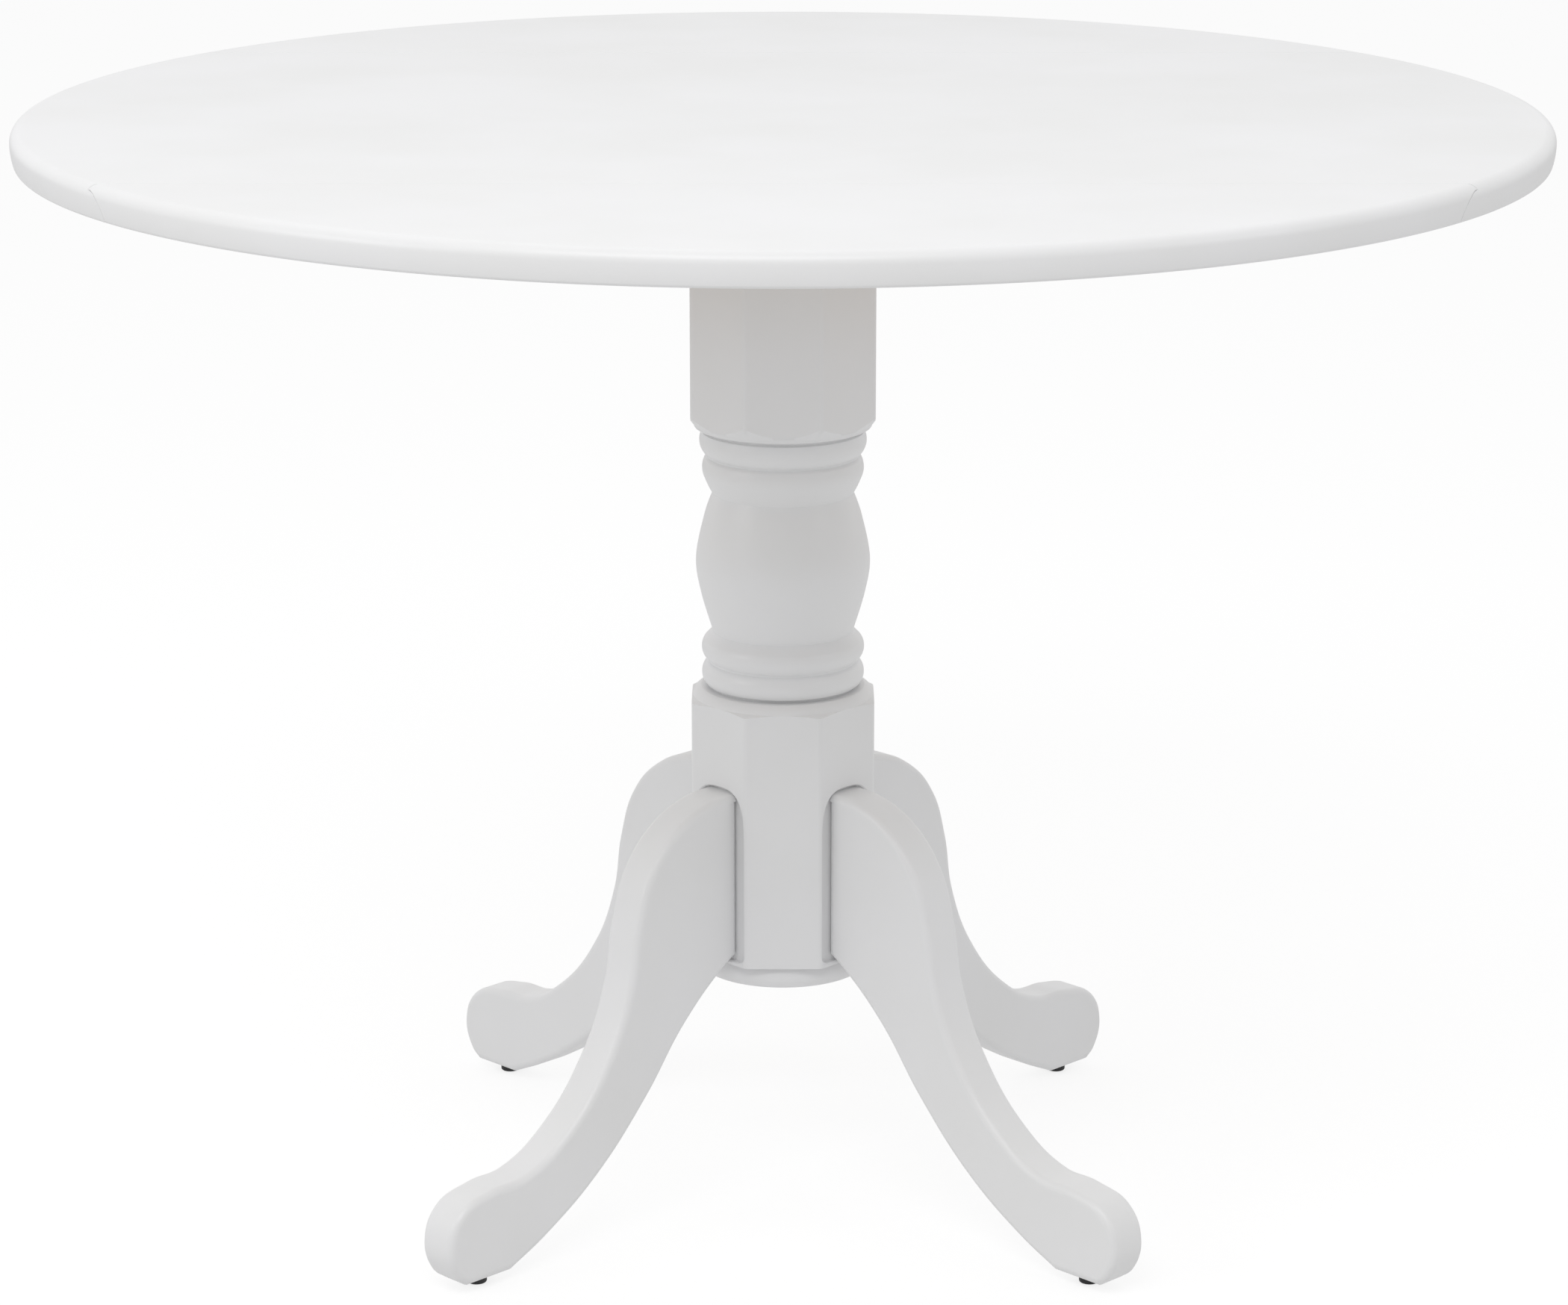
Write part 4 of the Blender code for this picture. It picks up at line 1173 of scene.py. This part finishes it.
inner_knuckle = LEAF_KNUCKLE_HALF + KNUCKLE_GAP
panel_screws = [(-0.024, -0.011), (-0.024, 0.011)]
leaf_screws = [(0.026, -0.011), (0.026, 0.011), (0.048, 0)]
panel_plate = hinge_plate(
    "steel_hinge_panel_plate",
    -1,
    HINGE_PANEL_LENGTH,
    [(-HINGE_HALF_WIDTH, -inner_knuckle), (inner_knuckle, HINGE_HALF_WIDTH)],
    panel_screws,
)
leaf_plate = hinge_plate(
    "steel_hinge_leaf_plate",
    1,
    HINGE_LEAF_LENGTH,
    [(-LEAF_KNUCKLE_HALF, LEAF_KNUCKLE_HALF)],
    leaf_screws,
)
half, tip = HINGE_HALF_WIDTH, PIN_RADIUS - PIN_PEEN
pin_outline = [
    (0, -half),
    (tip, -half),
    (PIN_RADIUS, PIN_PEEN - half),
    (PIN_RADIUS, half - PIN_PEEN),
    (tip, half),
    (0, half),
]
pin_pattern = smooth(turn_on_lathe("steel_hinge_pin", pin_outline, SCREW_STEPS))
hinge_screw = countersunk_screw("hinge_screw", HINGE_SCREW_HEAD, HINGE_SCREW_LENGTH)
for end in LEAF_SIDES:
    for hand, hand_way in HANDS.items():
        place = drawing_place(end, hand_way * HINGE_X)
        hinge = f"{end}_{hand}_hinge"
        for pattern, part, body in (
            (panel_plate, "panel_plate", BASE),
            (leaf_plate, "leaf_plate", f"{end}_leaf"),
            (pin_pattern, "pin", BASE),
        ):
            piece = copy_piece(pattern, f"steel_{hinge}_{part}", place)
            finish_piece(piece, zinc, "zinc_steel", body, f"{hinge}_{part}")
        for spots, part, body in (
            (panel_screws, "panel_screws", BASE),
            (leaf_screws, "leaf_screws", f"{end}_leaf"),
        ):
            places = [place @ Vector((x, hinge_bottom, z)) for x, z in spots]
            drive_screws(f"{hinge}_{part}", hinge_screw, places, body)
for pattern in (panel_plate, leaf_plate, pin_pattern, hinge_screw):
    bpy.data.objects.remove(pattern)


# The folding stays: two to a leaf, each a pair of zinc-plated steel arms riveted at the elbow and to an
# angle bracket at each end. The brackets are screwed under the panel and the leaf with pan-head screws.

STAY_X = 0.105
STAY_REACH = 0.095
STAY_DROP = 0.012
ARM_HALF_WIDTH = 0.0065
ARM_THICKNESS = 0.0025
ARM_ARRIS = 0.0004
BRACKET_THICKNESS = 0.002
EAR_LAP = 0.001
FLANGE_HALF_LENGTH = 0.022
FLANGE_WIDTH = 0.018
FLANGE_CORNER = 0.004
RIVET_RADIUS = 0.0025
RIVET_HEAD_RADIUS = 0.0045
RIVET_HEAD_HEIGHT = 0.0015
RIVET_HEAD_RIM = 0.0003
RIVET_DOME_SAG = 0.0005
FLANGE_SCREW_INSET = 0.0090
FLANGE_SCREW_SPREAD = 0.015
FLANGE_SCREW_HEAD = 0.0034
FLANGE_SCREW_LENGTH = 0.014
PAN_DEPTH_TO_HEAD = 0.62
PAN_FLAT_TO_HEAD = 0.55
PAN_CROWN = 0.55
PAN_ROUND = 0.45
PAN_RIM = 0.22

fixed_pivot = Vector((-STAY_REACH, -STAY_DROP))
moving_pivot = Vector((STAY_REACH, -STAY_DROP))
elbow_pivot = fixed_pivot + moving_pivot
upper_low = BRACKET_THICKNESS + TOUCHING_GAP
upper_high = upper_low + ARM_THICKNESS
lower_low = upper_high + TOUCHING_GAP
lower_high = lower_low + ARM_THICKNESS
moving_ear = lower_low - TOUCHING_GAP - BRACKET_THICKNESS
under_head = TOUCHING_GAP + RIVET_HEAD_HEIGHT


def pan_head_screw(name, head_radius, length):
    """The underside of its head rests at Z 0."""
    depth = head_radius * PAN_DEPTH_TO_HEAD
    shank = head_radius * SHANK_TO_HEAD
    crown = (head_radius * PAN_FLAT_TO_HEAD, -depth * PAN_CROWN)
    head = [
        *arc(crown, depth * PAN_ROUND, -90, -20, 6),
        (head_radius, -depth * PAN_RIM),
        (head_radius, 0),
        (shank, 0),
    ]
    return make_screw(name, head_radius, head, length, -depth)


def make_rivet(at, low, high):
    """A round-headed rivet along the pin's direction, its dome at the high end."""
    dome_low = high - RIVET_HEAD_HEIGHT
    dome_rim = (RIVET_HEAD_RADIUS, dome_low + RIVET_HEAD_RIM)
    outline = [
        (0, low),
        (RIVET_RADIUS, low),
        (RIVET_RADIUS, dome_low),
        (RIVET_HEAD_RADIUS, dome_low),
        dome_rim,
        *bulge(dome_rim, (0, high), -RIVET_DOME_SAG, 8),
    ]
    rivet = turn_on_lathe("rivet", outline, SCREW_STEPS)
    rivet.location = (*at, 0)
    return settle(rivet)


def arm_outline(a, b):
    """A bar with round ends about two pivots."""
    heading = math.degrees(math.atan2(b.y - a.y, b.x - a.x))
    return [
        *arc(a, ARM_HALF_WIDTH, heading + 270, heading + 90, 16),
        *arc(b, ARM_HALF_WIDTH, heading + 90, heading - 90, 16),
    ]


def make_arm(name, a, b, low, high, holes):
    arm = profile_slice(name, arm_outline(a, b), low, high)
    drill_along(arm, holes, RIVET_RADIUS + TOUCHING_GAP)
    return ease_arrises(arm, ARM_ARRIS)


def make_bracket(name, at, ear_low, rivet_high):
    """An ear that holds the pivot, folded from a flange that lies on the wood."""
    ear_high = ear_low + BRACKET_THICKNESS
    metal_bottom = metal_top - BRACKET_THICKNESS
    reach = FLANGE_HALF_LENGTH
    inside = reach - HIDDEN_STEP
    ear = [
        (at.x - inside, metal_bottom + EAR_LAP),
        (at.x - inside, metal_bottom),
        *arc(at, ARM_HALF_WIDTH, 200, 340, 16),
        (at.x + inside, metal_bottom),
        (at.x + inside, metal_bottom + EAR_LAP),
    ]
    bracket = profile_slice(name, ear, ear_low, ear_high - HIDDEN_STEP)
    flange = pressed_board(
        "flange",
        (at.x - reach, ear_high - FLANGE_WIDTH),
        (at.x + reach, ear_high),
        [FLANGE_CORNER, FLANGE_CORNER, 0, 0],
        metal_bottom,
        BRACKET_THICKNESS,
    )
    ease_arrises(flange, PRESSED_ARRIS, 1)
    ease_arrises(bracket, PRESSED_ARRIS, 1)
    weld_on(bracket, flange)
    weld_on(bracket, make_rivet(at, (ear_low + ear_high) / 2, rivet_high))
    across = ear_high - FLANGE_WIDTH + FLANGE_SCREW_INSET
    screws = [(at.x + way * FLANGE_SCREW_SPREAD, across) for way in (-1, 1)]
    return smooth(bracket, 30), screws


panel_bracket, panel_bracket_screws = make_bracket(
    "steel_stay_panel_bracket", fixed_pivot, 0, upper_high + under_head
)
leaf_bracket, leaf_bracket_screws = make_bracket(
    "steel_stay_leaf_bracket", moving_pivot, moving_ear, lower_high + under_head
)
upper_arm = make_arm(
    "steel_stay_upper_arm", fixed_pivot, elbow_pivot, upper_low, upper_high, [fixed_pivot]
)
elbow_rivet = make_rivet(elbow_pivot, (upper_low + upper_high) / 2, lower_high + under_head)
weld_on(upper_arm, elbow_rivet)
smooth(upper_arm, 30)
lower_arm = make_arm(
    "steel_stay_lower_arm",
    elbow_pivot,
    moving_pivot,
    lower_low,
    lower_high,
    [elbow_pivot, moving_pivot],
)
smooth(lower_arm, 30)
flange_screw = pan_head_screw("flange_screw", FLANGE_SCREW_HEAD, FLANGE_SCREW_LENGTH)
for end in LEAF_SIDES:
    for hand, hand_way in HANDS.items():
        place = drawing_place(end, hand_way * STAY_X)
        stay = f"{end}_{hand}_stay"
        for pattern, part, body in (
            (panel_bracket, "panel_bracket", BASE),
            (leaf_bracket, "leaf_bracket", f"{end}_leaf"),
            (upper_arm, "upper_arm", f"{end}_{hand}_upper_arm"),
            (lower_arm, "lower_arm", f"{end}_{hand}_lower_arm"),
        ):
            piece = copy_piece(pattern, f"steel_{stay}_{part}", place)
            finish_piece(piece, zinc, "zinc_steel", body, f"{stay}_{part}")
        for spots, part, body in (
            (panel_bracket_screws, "panel_screws", BASE),
            (leaf_bracket_screws, "leaf_screws", f"{end}_leaf"),
        ):
            face = metal_top - BRACKET_THICKNESS
            places = [place @ Vector((x, face, z)) for x, z in spots]
            drive_screws(f"{stay}_{part}", flange_screw, places, body)
for pattern in (panel_bracket, leaf_bracket, upper_arm, lower_arm, flange_screw):
    bpy.data.objects.remove(pattern)


# The stage: a white floor that glows a little, softboxes overhead, at the left, at the right and high in
# front, and a pale room that is brighter behind the table.

FLOOR_SIDE = 60
FLOOR_GREY = "8F8F8F"
CAMERA_DISTANCE = 3.159
CAMERA_HEIGHT = 1.238
CAMERA_PITCH = 15.24
CAMERA_LENS = 109.85
CAMERA_SENSOR = 36
CAMERA_OFFSET = 0.0007
FLOOR_GLOW_SEEN = 0.77
FLOOR_GLOW_ON_TABLE = 0.46
OVERHEAD_WATTS = 5
LEFT_WATTS = 16
RIGHT_WATTS = 7
FRONT_WATTS = 34
ROOM_FRONT = 0.50
ROOM_BACK = 0.92
ROOM_FADE_FROM = -0.4
ROOM_FADE_TO = 0.6

select_nothing()
bpy.ops.mesh.primitive_plane_add(size=FLOOR_SIDE)
floor = bpy.context.object
floor.name = "floor"
floor_paint, floor_tree, floor_shader, _ = new_material(
    "white_floor",
    Base_Color=linear(FLOOR_GREY),
    Roughness=0.9,
    Specular_IOR_Level=0.0,
    Emission_Color=linear("FFFFFF"),
)
seen = add_node(floor_tree, "LightPath").outputs["Is Camera Ray"]
glow = add_node(
    floor_tree, "MapRange", {"Value": seen}, To_Min=FLOOR_GLOW_ON_TABLE, To_Max=FLOOR_GLOW_SEEN
)
link(floor_tree, floor_shader, {"Emission Strength": glow.outputs["Result"]})
floor.data.materials.append(floor_paint)


def softbox(name, place, target, width, depth, watts):
    light = bpy.data.lights.new(name, "AREA")
    light.shape = "RECTANGLE"
    light.size, light.size_y, light.energy = width, depth, watts
    box = bpy.data.objects.new(name, light)
    bpy.context.scene.collection.objects.link(box)
    box.location = place
    heading = Vector(target) - Vector(place)
    box.rotation_euler = heading.to_track_quat("-Z", "Y").to_euler()


softbox("overhead", (0, 0.2, 3.2), (0, 0, 0.6), 3.6, 3.6, OVERHEAD_WATTS)
softbox("left", (-3.3, -1.7, 2.0), (0, 0, 0.35), 1.8, 1.2, LEFT_WATTS)
softbox("front", (-0.5, -2.2, 3.0), (0, -0.1, 0.2), 2.6, 1.4, FRONT_WATTS)
softbox("right", (3.3, -1.7, 2.0), (0, 0, 0.35), 1.8, 1.2, RIGHT_WATTS)

room = bpy.data.worlds.new("pale_room")
room.use_nodes = True
bpy.context.scene.world = room
room_tree = room.node_tree
room_light = room_tree.nodes["Background"]
room_light.inputs["Color"].default_value = linear("FFFFFF")
direction = add_node(room_tree, "TexCoord").outputs["Generated"]
split = add_node(room_tree, "SeparateXYZ", {"Vector": direction})
backdrop = add_node(
    room_tree,
    "MapRange",
    {"Value": split.outputs["Y"]},
    From_Min=ROOM_FADE_FROM,
    From_Max=ROOM_FADE_TO,
    To_Min=ROOM_FRONT,
    To_Max=ROOM_BACK,
)
seen = add_node(room_tree, "LightPath").outputs["Is Camera Ray"]
level = add_node(room_tree, "Math", {0: backdrop.outputs["Result"], 1: seen}, operation="MAXIMUM")
link(room_tree, room_light, {"Strength": level.outputs["Value"]})

camera_data = bpy.data.cameras.new("camera")
camera_data.lens = CAMERA_LENS
camera_data.sensor_width = CAMERA_SENSOR
camera = bpy.data.objects.new("camera", camera_data)
bpy.context.scene.collection.objects.link(camera)
camera.location = (CAMERA_OFFSET, -CAMERA_DISTANCE, CAMERA_HEIGHT)
camera.rotation_euler = (math.radians(90 - CAMERA_PITCH), 0, 0)
bpy.context.scene.camera = camera
bpy.context.scene.view_settings.view_transform = "Standard"
bpy.context.scene.view_settings.look = "None"
